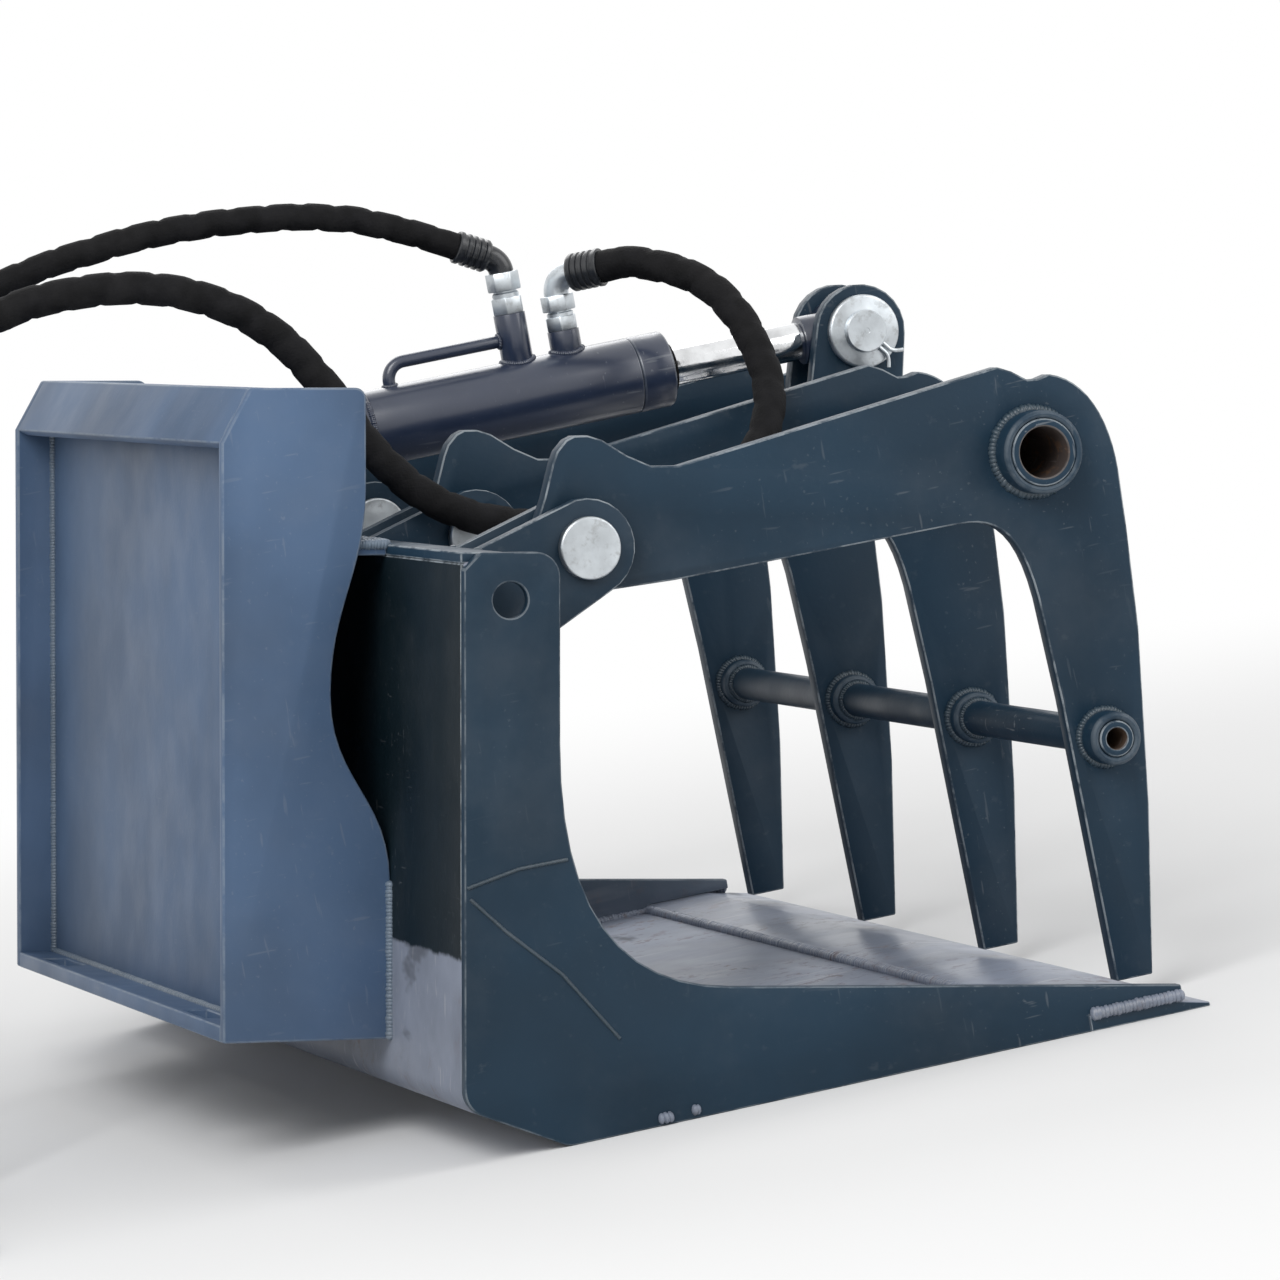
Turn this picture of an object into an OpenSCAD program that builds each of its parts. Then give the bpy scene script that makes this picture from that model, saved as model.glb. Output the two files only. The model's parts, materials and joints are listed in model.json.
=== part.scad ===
// A bucket with a grapple of four arms that one cylinder closes.
// +X points forward out of the bucket's mouth and +Z is up, with the floor flat on the ground.
// The coupler leans forward by "rake", so an upright coupler holds the bucket nose up by that angle.

/* [Bucket] */
// Width over the two side plates
bucket_w = 1060; // [960:10:1200]
// From the heel corner to the tip of the cutting edge
bucket_depth = 578; // [540:2:640]
// Height of the back, measured along it from the heel corner
back_h = 438; // [420:1:470]
// How far the back and the coupler lean forward from upright, in degrees
rake = 10; // [6:0.5:12]
// Thickness of the bent floor and back sheet
shell_t = 6; // [5:0.5:8]
// Thickness of each side plate
side_t = 10; // [8:1:12]
// From the heel corner up the back to the upper bend of the heel's slant
heel_up = 42; // [36:1:50]
// From the heel corner along the floor to the lower bend of the heel's slant
heel_ahead = 79; // [70:1:90]
// Inner radius of those two bends
heel_r = 14; // [10:1:18]
// Width of the flat bar along the top of the back
rail_w = 32; // [26:1:36]
// Thickness of that bar
rail_t = 8; // [6:1:10]

/* [Side plates] */
// Width of the upright part of each side plate
ear_w = 71; // [64:1:80]
// Radius of the ear's front corner
ear_r = 18; // [12:1:24]
// Corner taken off the top behind the ear
ear_chamfer = 12; // [8:1:16]
// Diameter of the lifting hole in each ear
ear_hole_d = 26; // [20:1:30]
// From the back edge to the middle of the lifting hole
ear_hole_in = 34; // [30:1:38]
// From the top edge down to the middle of the lifting hole
ear_hole_down = 34; // [30:1:40]
// Height of the low side just in front of the throat
side_low_h = 88; // [80:1:110]
// Height of the side plate's front end
side_nose_h = 20; // [18:0.5:24]
// From the front end of the side plate to the tip of the cutting edge
nose_back = 20; // [14:1:28]

/* [Cutting edge] */
// Width of the cutting edge bar, front to back
edge_w = 94; // [80:1:110]
// Thickness of the cutting edge bar
edge_t = 12; // [10:0.5:14]
// Length of its sharpened bevel
bevel_l = 40; // [30:1:50]
// Thickness left at its tip
tip_t = 3; // [2:0.5:4]

/* [Coupler] */
// Width over the coupler's two gussets
mount_w = 674; // [600:2:760]
// Height of the gussets
mount_h = 478; // [466:1:490]
// Height of the gussets' lower edge above the heel corner, along the back
mount_low = 75; // [66:1:84]
// From the back sheet's rear face to the gussets' rear edge
standoff = 127; // [116:1:140]
// Depth of the pocket between the gussets' rear edge and the coupler face
pocket_d = 30; // [26:1:34]
// Thickness of the coupler face and of the plates round it
face_t = 10; // [8:1:12]
// How far the top lip reaches down
lip_drop = 40; // [34:1:46]
// How far the top lip reaches out as it comes down
lip_out = 22; // [18:1:22]
// Thickness of the bottom ledge
ledge_t = 12; // [10:1:14]
// From the middle to the centre of each wedge slot
wedge_y = 230; // [200:1:250]
// Length of each wedge slot
wedge_l = 70; // [60:1:80]
// Width of each wedge slot
wedge_w = 18; // [14:1:20]
// From the middle to each inner rib
rib_y = 120; // [100:1:150]

/* [Grapple] */
// From the back sheet's rear face to the grapple's hinge axis
hinge_out = 115; // [108:1:120]
// Thickness of each grapple arm
arm_t = 15; // [12:1:18]
// Outer radius of the arms and lugs round the hinge pins
eye_r = 36; // [33:1:38]
// Clearance between the points of the tines and the cutting edge
tip_gap = 4; // [3:0.5:8]
// How far the arms' foremost point stands ahead of the cutting edge's tip
arm_ahead = 34; // [28:1:36]
// Outer diameter of the upper cross pipe
upper_pipe_d = 50; // [44:1:54]
// Bore of the upper cross pipe
upper_bore_d = 38; // [30:1:40]
// Outer diameter of the collars round the upper cross pipe
upper_collar_d = 62; // [58:1:66]
// Outer diameter of the lower cross pipe
lower_pipe_d = 27; // [24:1:30]
// Bore of the lower cross pipe
lower_bore_d = 16; // [12:1:18]
// Outer diameter of the collars round the lower cross pipe
lower_collar_d = 40; // [36:1:44]
// How far the collars stand out of the outer arms
collar_out = 24; // [18:1:28]
// How far the collars stand out of the inner arms
collar_in = 14; // [10:1:18]

/* [Hinge pins] */
// Diameter of each hinge pin
pin_d = 32; // [28:1:34]
// Diameter of each pin's head
pin_head_d = 46; // [42:1:50]
// Thickness of each pin's head
pin_head_t = 8; // [6:1:10]
// Length of the bush welded in each arm
bush_l = 36; // [30:1:40]
// Outer diameter of that bush
bush_d = 50; // [44:1:54]
// Thickness of each hinge lug
lug_t = 12; // [10:1:14]

/* [Cylinder] */
// Outer diameter of the barrel
barrel_d = 60; // [56:1:64]
// Bore of the barrel
barrel_bore = 50; // [46:1:52]
// Diameter of the rod
rod_d = 30; // [26:1:34]
// From the base pin to the front of the gland
barrel_l = 290; // [280:1:300]
// Diameter of the pins at the cylinder's two ends
cyl_pin_d = 25; // [22:1:26]
// Outer diameter of the eye at each end
cyl_eye_d = 54; // [50:1:56]
// Width of the eye at each end
cyl_eye_w = 40; // [36:1:44]
// Radial room round the rod pin in its lugs, for the coupled motion
rod_pin_room = 7.5; // [7.5:0.1:8]
// Diameter of the washers that cover that room
washer_d = 58; // [57:0.5:62]
// Thickness of those washers
washer_t = 8; // [6:1:10]
// From the back sheet's rear face to the base pin
base_pin_out = 36; // [30:1:42]
// Height of the base pin above the top of the back
base_pin_up = 71; // [66:1:76]
// How far the rod pin stands above the upper cross pipe
rod_pin_up = 86; // [82:1:90]
// How far the rod pin lies in front of the upper cross pipe
rod_pin_ahead = 22; // [16:1:28]

/* [Hoses] */
// Diameter of the hose on the barrel's rear port
hose_1_d = 22; // [20:1:24]
// Diameter of the hose on the barrel's front port
hose_2_d = 26; // [22:1:28]

/* [Hidden] */
$fn = 48;
// Radial clearance of every pin, pipe and rod in its hole
fit = 0.05;
// Gap between faces that move past each other
side_gap = 0.5;
// How far a cut runs past the faces that it cuts
over = 5;
// Steps of a curved stretch in an outline
steps = 12;

// The paints and metals
dark_paint = "#46545f";
light_paint = "#8e9bab";
bare_steel = "#c9ced2";
black_rubber = "#2b2b2c";

// An arc about c from angle a0 to a1
function arc(c, r, a0, a1) = [for (i = [0:steps]) let (a = a0 + (a1 - a0) * i / steps) c + r * [cos(a), sin(a)]];
// A curve from p to s that leaves towards q and arrives from r
function curve(p, q, r, s) = [for (i = [0:steps]) let (t = i / steps, w = 1 - t)
    w * w * w * p + 3 * w * w * t * q + 3 * w * t * t * r + t * t * t * s];
// A place given along the leaning back, from the heel corner, as [x, z]
function leaned(p) = [p[0] * cos(rake) + p[1] * sin(rake), p[1] * cos(rake) - p[0] * sin(rake)];

// The heel corner lies where the back's rear face meets the ground
rear_reach = standoff * cos(rake) - mount_low * sin(rake);
heel_x = (rear_reach - bucket_depth - arm_ahead) / 2;
half_w = bucket_w / 2;
inner_w = bucket_w - 2 * side_t;
// The two bends at the heel: their outer radius, the slant between them, and their middles
bend_r = heel_r + shell_t;
slant = atan2(heel_up * cos(rake), heel_ahead - heel_up * sin(rake));
low_bend = [heel_ahead + bend_r * tan(slant / 2), bend_r];
high_bend = leaned([bend_r, heel_up + bend_r * tan((90 + rake - slant) / 2)]);
// The front edge of the floor sheet
floor_end = bucket_depth - edge_w;
side_end = bucket_depth - nose_back;

// The hinge axis, the cross pipes and the cylinder's pins, each as [x, z] from the heel corner
hinge = leaned([hinge_out, back_h]);
arm_reach = bucket_depth - hinge[0] + arm_ahead;
arm_drop = hinge[1] - edge_t - tip_gap;
upper_pipe_share = [0.847, 0.013];
lower_pipe_share = [0.895, -0.541];
function on_arm(share) = [share[0] * arm_reach, share[1] * arm_drop];
upper_pipe = hinge + on_arm(upper_pipe_share);
lower_pipe = hinge + on_arm(lower_pipe_share);
rod_pin_at = upper_pipe + [rod_pin_ahead, rod_pin_up];
base_pin_at = leaned([base_pin_out, back_h + base_pin_up]);
pin_to_pin = norm(rod_pin_at - base_pin_at);
cyl_tilt = atan2(rod_pin_at[1] - base_pin_at[1], rod_pin_at[0] - base_pin_at[0]);

// The four arms stand at equal steps across the bucket
arm_count = 4;
arm_step_share = 0.8;
arm_step = bucket_w * arm_step_share / (arm_count - 1);
function arm_y(n) = (n - (arm_count + 1) / 2) * arm_step;
lug_in = bush_l / 2 + side_gap;
lug_mid = lug_in + lug_t / 2;
eye_mid = cyl_eye_w / 2 + side_gap;

// Outline of an arm's top and front, from the tail to the tine's point, along and up from the hinge
arm_tail_shares = [[-0.073, 0.046], [-0.045, 0.1], [-0.02, 0.16], [-0.009, 0.18], [0.01, 0.197], [0.026, 0.202],
    [0.05, 0.198], [0.074, 0.185], [0.113, 0.149], [0.154, 0.121], [0.203, 0.112]];
arm_nose_shares = [[0.807, 0.181], [0.832, 0.168], [0.859, 0.147], [0.878, 0.145]];
arm_corner_shares = [[0.9, 0.15], [0.965, 0.13], [1.0, 0.05], [1.0, -0.053]];
tine_front_shares = [[0.998, -0.16], [0.99, -0.35], [0.974, -0.517], [0.956, -0.685], [0.912, -1]];
tine_rear_shares = [[0.844, -1], [0.841, -0.88], [0.826, -0.455]];
throat_shares = [[0.817, -0.301], [0.808, -0.13], [0.765, -0.095], [0.69, -0.094]];
beam_foot_share = [0.16, -0.094];

// Sizes of the gussets' curved front edge, as shares of their height
gusset_head_share = 0.15;
gusset_waist_share = 0.47;
gusset_foot_share = 0.76;
// How far the gussets' front edge stands off the back at their head and at their waist
gusset_head_off = 18;
gusset_waist_off = 45;
gusset_corner = 8;

// Sizes of the hinge lugs and the cylinder's lugs
lug_root_h = 110;
base_lug_l = 96;
base_eye_r = 31;
rod_lug_r = 37;
pipe_lug_r = 40;

// Sizes of the cylinder's parts along its axis, from the base pin
tube_from = 40;
cap_l = 6;
plug_l = 14;
gland_l = 28;
spigot_l = 22;
piston_l = 30;
piston_back = 26;
wiper_t = 5;
wiper_out = 5;
eye_neck_d = 38;
eye_neck_l = 14;
pin_nub = 5;
base_head_t = 6;
base_head_d = 36;
// The two ports: places along the barrel, and heights from its axis
port_1_s = 172;
port_2_s = 213;
boss_d = 25;
boss_1_h = 67;
boss_2_h = 46;
nut_d = 27;
nut_1_h = 100;
nut_2_h = 74;
hex = 6;
elbow_d = 20;
elbow_r = 15;
elbow_1_sweep = 62;
elbow_2_sweep = 88;
elbow_2_yaw = 40;
ferrule_l = 28;
ferrule_grow = 4;
// The steel line from the rear port to the barrel's base
line_d = 10;
line_h = 47;
line_s = 66;
line_r = 14;

// A turn and place in the leaning back's frame, in the cylinder's frame, and on the hinge
module at_heel() { translate([heel_x, 0, 0]) children(); }
module leaning() { at_heel() rotate([0, rake, 0]) children(); }
module on_cylinder() {
    at_heel() translate([base_pin_at[0], 0, base_pin_at[1]]) rotate([0, -cyl_tilt, 0]) children();
}
// A plate that stands across Y, of thickness t and centred at y
module plate(y, t, points) {
    translate([0, y + t / 2, 0]) rotate([90, 0, 0]) linear_extrude(t) polygon(points);
}
// A rod along Y, centred at y, through p
module rod_y(p, y, l, d) {
    translate([p[0], y + l / 2, p[1]]) rotate([90, 0, 0]) cylinder(d = d, h = l);
}
// A rod along the cylinder's axis, or h above it
module rod_s(s, l, d, h = 0) {
    translate([s, 0, h]) rotate([0, 90, 0]) cylinder(d = d, h = l);
}
// Points of the tangent outline round two circles of radius ra at a and rb at b
function link(a, ra, b, rb) = let (d = b - a, l = norm(d), t = atan2(d[1], d[0]), k = acos((ra - rb) / l))
    concat(arc(a, ra, t + k, t + 360 - k), arc(b, rb, t - k, t + k));

// Outer line of the floor, heel and back, moved inwards by m
function heel_arc(m) = concat(arc(low_bend, bend_r - m, 270, 270 - slant),
    arc(high_bend, bend_r - m, 270 - slant, 180 - rake));
module bucket_shell() {
    color(dark_paint) at_heel() plate(0, inner_w, concat(
        [[floor_end, shell_t], [floor_end, 0]], heel_arc(0),
        [leaned([0, back_h - rail_t]), leaned([shell_t, back_h - rail_t])],
        [for (i = [2 * steps + 1:-1:0]) heel_arc(shell_t)[i]]));
}
module cutting_edge() {
    color(dark_paint) at_heel() plate(0, bucket_w, [[floor_end, 0], [bucket_depth, 0], [bucket_depth, tip_t],
        [bucket_depth - bevel_l, edge_t], [floor_end, edge_t]]);
}
// The throat runs from the ear's front edge down to the low side's top edge
throat_share = [0.69, 0.42];
low_share = 0.378;
module side_plate(y) {
    nose = [side_end, side_nose_h];
    low = [low_share * bucket_depth, side_low_h];
    throat = curve(leaned([ear_w, throat_share[0] * back_h]), leaned([ear_w, throat_share[1] * back_h]),
        low + (low - nose) / 4, low);
    difference() {
        at_heel() plate(y, side_t, concat([[side_end, edge_t], [floor_end, edge_t], [floor_end, 0]], heel_arc(0),
            [leaned([0, back_h - ear_chamfer]), leaned([ear_chamfer, back_h])],
            [for (p = arc([ear_w - ear_r, back_h - ear_r], ear_r, 90, 0)) leaned(p)],
            throat, [nose]));
        leaning() rod_y([ear_hole_in, back_h - ear_hole_down], y, side_t + over, ear_hole_d);
    }
}
module side_plate_right() { color(dark_paint) side_plate(side_t / 2 - half_w); }
module side_plate_left() { color(dark_paint) side_plate(half_w - side_t / 2); }
module back_top_rail() {
    color(dark_paint) leaning() translate([0, -inner_w / 2, back_h - rail_t]) cube([rail_w, inner_w, rail_t]);
}

// The coupler: everything is placed along the back, rearwards from its rear face
mount_top = mount_low + mount_h;
face_u = -standoff + pocket_d;
clear_w = mount_w - 2 * face_t;
module coupler_face() {
    color(light_paint) leaning() translate([face_u, -clear_w / 2, mount_low + ledge_t])
        cube([face_t, clear_w, mount_h - ledge_t]);
}
module coupler_top_lip() {
    outer = [-standoff + lip_out, mount_top];
    foot = [-standoff, mount_top - lip_drop];
    in = foot + face_t * [lip_drop, -lip_out] / norm([lip_drop, lip_out]);
    color(light_paint) leaning() plate(0, clear_w,
        [outer, foot, in, [face_u, in[1] + (face_u - in[0]) * lip_drop / lip_out], [face_u, mount_top]]);
}
module coupler_bottom_ledge() {
    color(light_paint) leaning() difference() {
        translate([-standoff, -clear_w / 2, mount_low]) cube([pocket_d + face_t, clear_w, ledge_t]);
        for (y = [-wedge_y, wedge_y])
            translate([-standoff + (pocket_d - wedge_w) / 2, y - wedge_l / 2, mount_low - over])
                cube([wedge_w, wedge_l, ledge_t + 2 * over]);
    }
}
module coupler_gusset(y) {
    head = [-gusset_head_off, mount_top - mount_h * gusset_head_share];
    waist = [-gusset_waist_off, mount_top - mount_h * gusset_waist_share];
    foot = [0, mount_top - mount_h * gusset_foot_share];
    pull = mount_h * gusset_head_share * 0.9;
    leaning() plate(y, face_t, concat([[-standoff, mount_low], [-standoff, mount_top - lip_drop],
        [-standoff + lip_out, mount_top]],
        arc([-gusset_head_off - gusset_corner, mount_top - gusset_corner], gusset_corner, 90, 0),
        curve(head, head - [0, pull], waist + [0, pull], waist),
        curve(waist, waist - [0, pull], foot + [0, pull], foot), [[0, mount_low]]));
}
module coupler_gusset_right() { color(light_paint) coupler_gusset((face_t - mount_w) / 2); }
module coupler_gusset_left() { color(light_paint) coupler_gusset((mount_w - face_t) / 2); }
// How far the ribs' lower edge rises on its way to the back
rib_rise = 67;
module coupler_ribs() {
    rib_from = face_u + face_t;
    rib_top = back_h - rail_t;
    color(light_paint) leaning() for (y = [-rib_y, rib_y])
        plate(y, face_t, [[rib_from, mount_low + ledge_t], [0, mount_low + rib_rise], [0, rib_top], [rib_from, rib_top]]);
}
module coupler_shelf() {
    color(light_paint) leaning() translate([face_u + face_t, -clear_w / 2, back_h - rail_t])
        cube([-face_u - face_t, clear_w, rail_t]);
}

// Each arm hangs between a pair of lugs on the back
module hinge_lugs(n) {
    root = back_h - rail_t;
    color(dark_paint) leaning() difference() {
        for (side = [-1, 1])
            plate(arm_y(n) + side * lug_mid, lug_t, concat(
                [[shell_t, root - lug_root_h], [shell_t, root], [rail_w, root], [rail_w, back_h]],
                arc([hinge_out, back_h], eye_r, 105, -60)));
        rod_y([hinge_out, back_h], arm_y(n), 2 * lug_mid + lug_t + over, pin_d + 2 * fit);
    }
}
module hinge_pin(n) {
    outer = lug_mid + lug_t / 2;
    color(bare_steel) at_heel() {
        rod_y(hinge, arm_y(n), 2 * outer, pin_d);
        for (side = [-1, 1]) rod_y(hinge, arm_y(n) + side * (outer + pin_head_t / 2), pin_head_t, pin_head_d);
    }
}
module grapple_arm(n) {
    outline = concat(arc([0, 0], eye_r, 285, 155), [for (s = arm_tail_shares) on_arm(s)],
        [for (s = arm_nose_shares) on_arm(s)],
        curve(on_arm(arm_corner_shares[0]), on_arm(arm_corner_shares[1]), on_arm(arm_corner_shares[2]),
            on_arm(arm_corner_shares[3])),
        [for (s = tine_front_shares) on_arm(s)], [for (s = tine_rear_shares) on_arm(s)],
        curve(on_arm(throat_shares[0]), on_arm(throat_shares[1]), on_arm(throat_shares[2]), on_arm(throat_shares[3])),
        [on_arm(beam_foot_share)]);
    color(dark_paint) at_heel() difference() {
        translate([hinge[0], 0, hinge[1]]) plate(arm_y(n), arm_t, outline);
        rod_y(hinge, arm_y(n), arm_t + over, bush_d);
        rod_y(upper_pipe, arm_y(n), arm_t + over, upper_collar_d);
        rod_y(lower_pipe, arm_y(n), arm_t + over, lower_collar_d);
    }
}
module arm_bushes() {
    color(dark_paint) at_heel() for (n = [1:arm_count]) difference() {
        rod_y(hinge, arm_y(n), bush_l, bush_d - 2 * fit);
        rod_y(hinge, arm_y(n), bush_l + over, pin_d + 2 * fit);
    }
}
// The span over the outer arms' collars
pipe_l = arm_step * (arm_count - 1) + arm_t + 2 * collar_out;
module cross_pipe(p, d, bore) {
    color(dark_paint) at_heel() difference() {
        rod_y(p, 0, pipe_l, d);
        rod_y(p, 0, pipe_l + over, bore);
    }
}
module upper_cross_pipe() { cross_pipe(upper_pipe, upper_pipe_d, upper_bore_d); }
module lower_cross_pipe() { cross_pipe(lower_pipe, lower_pipe_d, lower_bore_d); }
// A collar on every arm: the outer ones stand out sideways, the inner ones to both sides
module collars(p, d, pipe_d) {
    color(dark_paint) at_heel() for (n = [1:arm_count]) {
        end = n == 1 || n == arm_count;
        away = n == 1 ? -1 : 1;
        l = arm_t + collar_in + (end ? collar_out : collar_in);
        y = arm_y(n) + (end ? away * (collar_out - collar_in) / 2 : 0);
        difference() {
            rod_y(p, y, l, d - 2 * fit);
            rod_y(p, y, l + over, pipe_d + 2 * fit);
        }
    }
}
module upper_collars() { collars(upper_pipe, upper_collar_d, upper_pipe_d); }
module lower_collars() { collars(lower_pipe, lower_collar_d, lower_pipe_d); }
module rod_lugs() {
    color(dark_paint) at_heel() difference() {
        for (side = [-1, 1]) plate(side * (eye_mid + lug_t / 2), lug_t, link(upper_pipe, pipe_lug_r, rod_pin_at, rod_lug_r));
        rod_y(upper_pipe, 0, 2 * (eye_mid + lug_t) + over, upper_pipe_d + 2 * fit);
        rod_y(rod_pin_at, 0, 2 * (eye_mid + lug_t) + over, cyl_pin_d + 2 * rod_pin_room);
    }
}

// The cylinder's base pin is held by two lugs on the shelf and the top rail
module cylinder_base_lugs() {
    top = back_h + base_pin_up;
    color(light_paint) leaning() difference() {
        for (side = [-1, 1]) plate(side * (eye_mid + lug_t / 2), lug_t, concat(
            [[rail_w - base_lug_l, back_h], [rail_w, back_h]], arc([base_pin_out, top], base_eye_r, -15, 155)));
        rod_y([base_pin_out, top], 0, 2 * (eye_mid + lug_t) + over, cyl_pin_d + 2 * fit);
    }
}
module cylinder_base_pin() {
    outer = eye_mid + lug_t;
    color(bare_steel) at_heel() {
        rod_y(base_pin_at, 0, 2 * outer, cyl_pin_d);
        for (side = [-1, 1]) rod_y(base_pin_at, side * (outer + base_head_t / 2), base_head_t, base_head_d);
    }
}
module cylinder_barrel() {
    color(dark_paint) on_cylinder() difference() {
        rod_s(tube_from, barrel_l - gland_l - tube_from, barrel_d);
        rod_s(tube_from - over, barrel_l, barrel_bore);
    }
}
module cylinder_base_eye() {
    color(dark_paint) on_cylinder() difference() {
        union() {
            rod_y([0, 0], 0, cyl_eye_w, cyl_eye_d);
            rod_s(0, tube_from, eye_neck_d);
            rod_s(tube_from - cap_l, cap_l, barrel_d);
            rod_s(tube_from - cap_l, cap_l + plug_l, barrel_bore - 2 * fit);
        }
        rod_y([0, 0], 0, cyl_eye_w + over, cyl_pin_d + 2 * fit);
    }
}
module cylinder_gland() {
    color(dark_paint) on_cylinder() difference() {
        union() {
            rod_s(barrel_l - gland_l, gland_l, barrel_d);
            rod_s(barrel_l - gland_l - spigot_l, gland_l, barrel_bore - 2 * fit);
        }
        rod_s(barrel_l - gland_l - spigot_l - over, gland_l + spigot_l + 2 * over, rod_d + 2 * fit);
    }
}
module gland_wiper() {
    color(black_rubber) on_cylinder() difference() {
        rod_s(barrel_l, wiper_t, rod_d + 2 * wiper_out);
        rod_s(barrel_l - over, wiper_t + 2 * over, rod_d + 2 * fit);
    }
}
module rise(s, from, to, d) { translate([s, 0, from]) cylinder(d = d, h = to - from); }
module port_bosses() {
    color(dark_paint) on_cylinder() difference() {
        union() {
            rise(port_1_s, 0, boss_1_h, boss_d);
            rise(port_2_s, 0, boss_2_h, boss_d);
        }
        rod_s(0, barrel_l, barrel_d);
        rod_s(line_s, port_1_s - line_s, line_d, line_h);
    }
}
module port_nuts() {
    color(bare_steel) on_cylinder() {
        translate([port_1_s, 0, boss_1_h]) cylinder(d = nut_d, h = nut_1_h - boss_1_h, $fn = hex);
        translate([port_2_s, 0, boss_2_h]) cylinder(d = nut_d, h = nut_2_h - boss_2_h, $fn = hex);
    }
}
// A quarter bend or less: it rises from the origin and turns towards +X
module bend(r, d, sweep) {
    translate([r, 0, 0]) rotate([90, 0, 0]) rotate([0, 0, 180 - sweep]) rotate_extrude(angle = sweep)
        translate([r, 0]) circle(d = d);
}
// A bent fitting with the hose's crimped sleeve on its end
module elbow(s, h, yaw, sweep, hose_d) {
    on_cylinder() translate([s, 0, h]) rotate([0, 0, yaw]) {
        bend(elbow_r, elbow_d, sweep);
        translate(elbow_r * [1 - cos(sweep), 0, sin(sweep)]) rotate([0, sweep, 0])
            cylinder(d = hose_d + ferrule_grow, h = ferrule_l);
    }
}
// Where the sleeve ends and which way it points, in the cylinder's frame
function elbow_dir(yaw, sweep) = [sin(sweep) * cos(yaw), sin(sweep) * sin(yaw), cos(sweep)];
function elbow_end(s, h, yaw, sweep) = let (out = elbow_r * (1 - cos(sweep)))
    [s + out * cos(yaw), out * sin(yaw), h + elbow_r * sin(sweep)] + ferrule_l * elbow_dir(yaw, sweep);
module elbow_1() { color(black_rubber) elbow(port_1_s, nut_1_h, 180, elbow_1_sweep, hose_1_d); }
module elbow_2() { color(bare_steel) elbow(port_2_s, nut_2_h, -elbow_2_yaw, elbow_2_sweep, hose_2_d); }
module hard_line() {
    color(dark_paint) on_cylinder() difference() {
        union() {
            rod_s(line_s + line_r, port_1_s - line_s - line_r - boss_d / 4, line_d, line_h);
            translate([line_s, 0, line_h - line_r]) bend(line_r, line_d, 90);
            rise(line_s, 0, line_h - line_r, line_d);
        }
        rod_s(0, barrel_l, barrel_d);
    }
}
// The piston is threaded on the rod's thin end
piston_at = barrel_l - gland_l - spigot_l - piston_back - piston_l;
module piston() {
    color(bare_steel) on_cylinder() difference() {
        rod_s(piston_at, piston_l, barrel_bore - 2 * fit);
        rod_s(piston_at - over, piston_l + 2 * over, rod_d / 2 + 2 * fit);
    }
}
module piston_rod() {
    color(bare_steel) on_cylinder() {
        rod_s(piston_at, 2 * piston_l, rod_d / 2);
        rod_s(piston_at + piston_l, pin_to_pin - eye_neck_l - cyl_eye_d / 2 - piston_at - piston_l, rod_d);
    }
}
module rod_eye() {
    color(bare_steel) on_cylinder() difference() {
        union() {
            rod_y([pin_to_pin, 0], 0, cyl_eye_w, cyl_eye_d);
            rod_s(pin_to_pin - eye_neck_l - cyl_eye_d / 2, eye_neck_l + cyl_eye_d / 2, eye_neck_d);
        }
        rod_y([pin_to_pin, 0], 0, cyl_eye_w + over, cyl_pin_d + 2 * fit);
    }
}
module rod_pin() {
    outer = eye_mid + lug_t + side_gap;
    color(bare_steel) on_cylinder() {
        rod_y([pin_to_pin, 0], 0, 2 * (outer + washer_t + pin_nub), cyl_pin_d);
        for (side = [-1, 1]) rod_y([pin_to_pin, 0], side * (outer + washer_t / 2), washer_t, washer_d);
    }
}

// A place and a direction of the cylinder's frame, in the part's own frame
function turned(p) = [p[0] * cos(cyl_tilt) - p[2] * sin(cyl_tilt), p[1], p[0] * sin(cyl_tilt) + p[2] * cos(cyl_tilt)];
function placed(p) = turned(p) + [heel_x + base_pin_at[0], 0, base_pin_at[1]];
// Each hose leaves its sleeve straight, then follows these points round behind the coupler to the ground
hose_lead = 18;
hose_gap = 0.2;
hose_1_start = placed(elbow_end(port_1_s, nut_1_h, 180, elbow_1_sweep) + hose_gap * elbow_dir(180, elbow_1_sweep));
hose_2_start = placed(elbow_end(port_2_s, nut_2_h, -elbow_2_yaw, elbow_2_sweep)
    + hose_gap * elbow_dir(-elbow_2_yaw, elbow_2_sweep));
hose_1_route = concat([hose_1_start, hose_1_start + hose_lead * turned(elbow_dir(180, elbow_1_sweep))], [
    [-66, 0, 658], [-110, 0, 668], [-152, 0, 673], [-196, 0, 675], [-240, 0, 674], [-282, 0, 670],
    [-323, 0, 664], [-368, 4, 652], [-412, 10, 632], [-450, 18, 600], [-480, 28, 556], [-501, 38, 500],
    [-514, 47, 435], [-522, 54, 365], [-528, 60, 295], [-534, 67, 225], [-541, 79, 155], [-551, 99, 94],
    [-566, 130, 50], [-584, 172, 26], [-598, 224, 19], [-602, 275, 19], [-602, 300, 19]]);
hose_2_route = concat([hose_2_start, hose_2_start + hose_lead * turned(elbow_dir(-elbow_2_yaw, elbow_2_sweep))], [
    [152, -57, 587], [171, -77, 576], [186, -107, 550], [191, -143, 513], [186, -176, 474], [166, -199, 441],
    [130, -208, 419], [88, -212, 410], [40, -211, 408], [-12, -207, 412], [-62, -201, 426], [-104, -193, 453],
    [-134, -184, 493], [-156, -174, 540], [-182, -164, 583], [-220, -156, 617], [-268, -150, 638],
    [-320, -145, 646], [-372, -141, 643], [-418, -138, 628], [-456, -135, 598], [-486, -134, 553],
    [-506, -134, 490], [-519, -136, 415], [-528, -139, 330], [-535, -143, 245], [-542, -153, 168],
    [-553, -173, 100], [-570, -207, 50], [-588, -258, 25], [-600, -318, 19], [-604, -362, 19],
    [-604, -390, 19]]);
hose_sides = 10;
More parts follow.
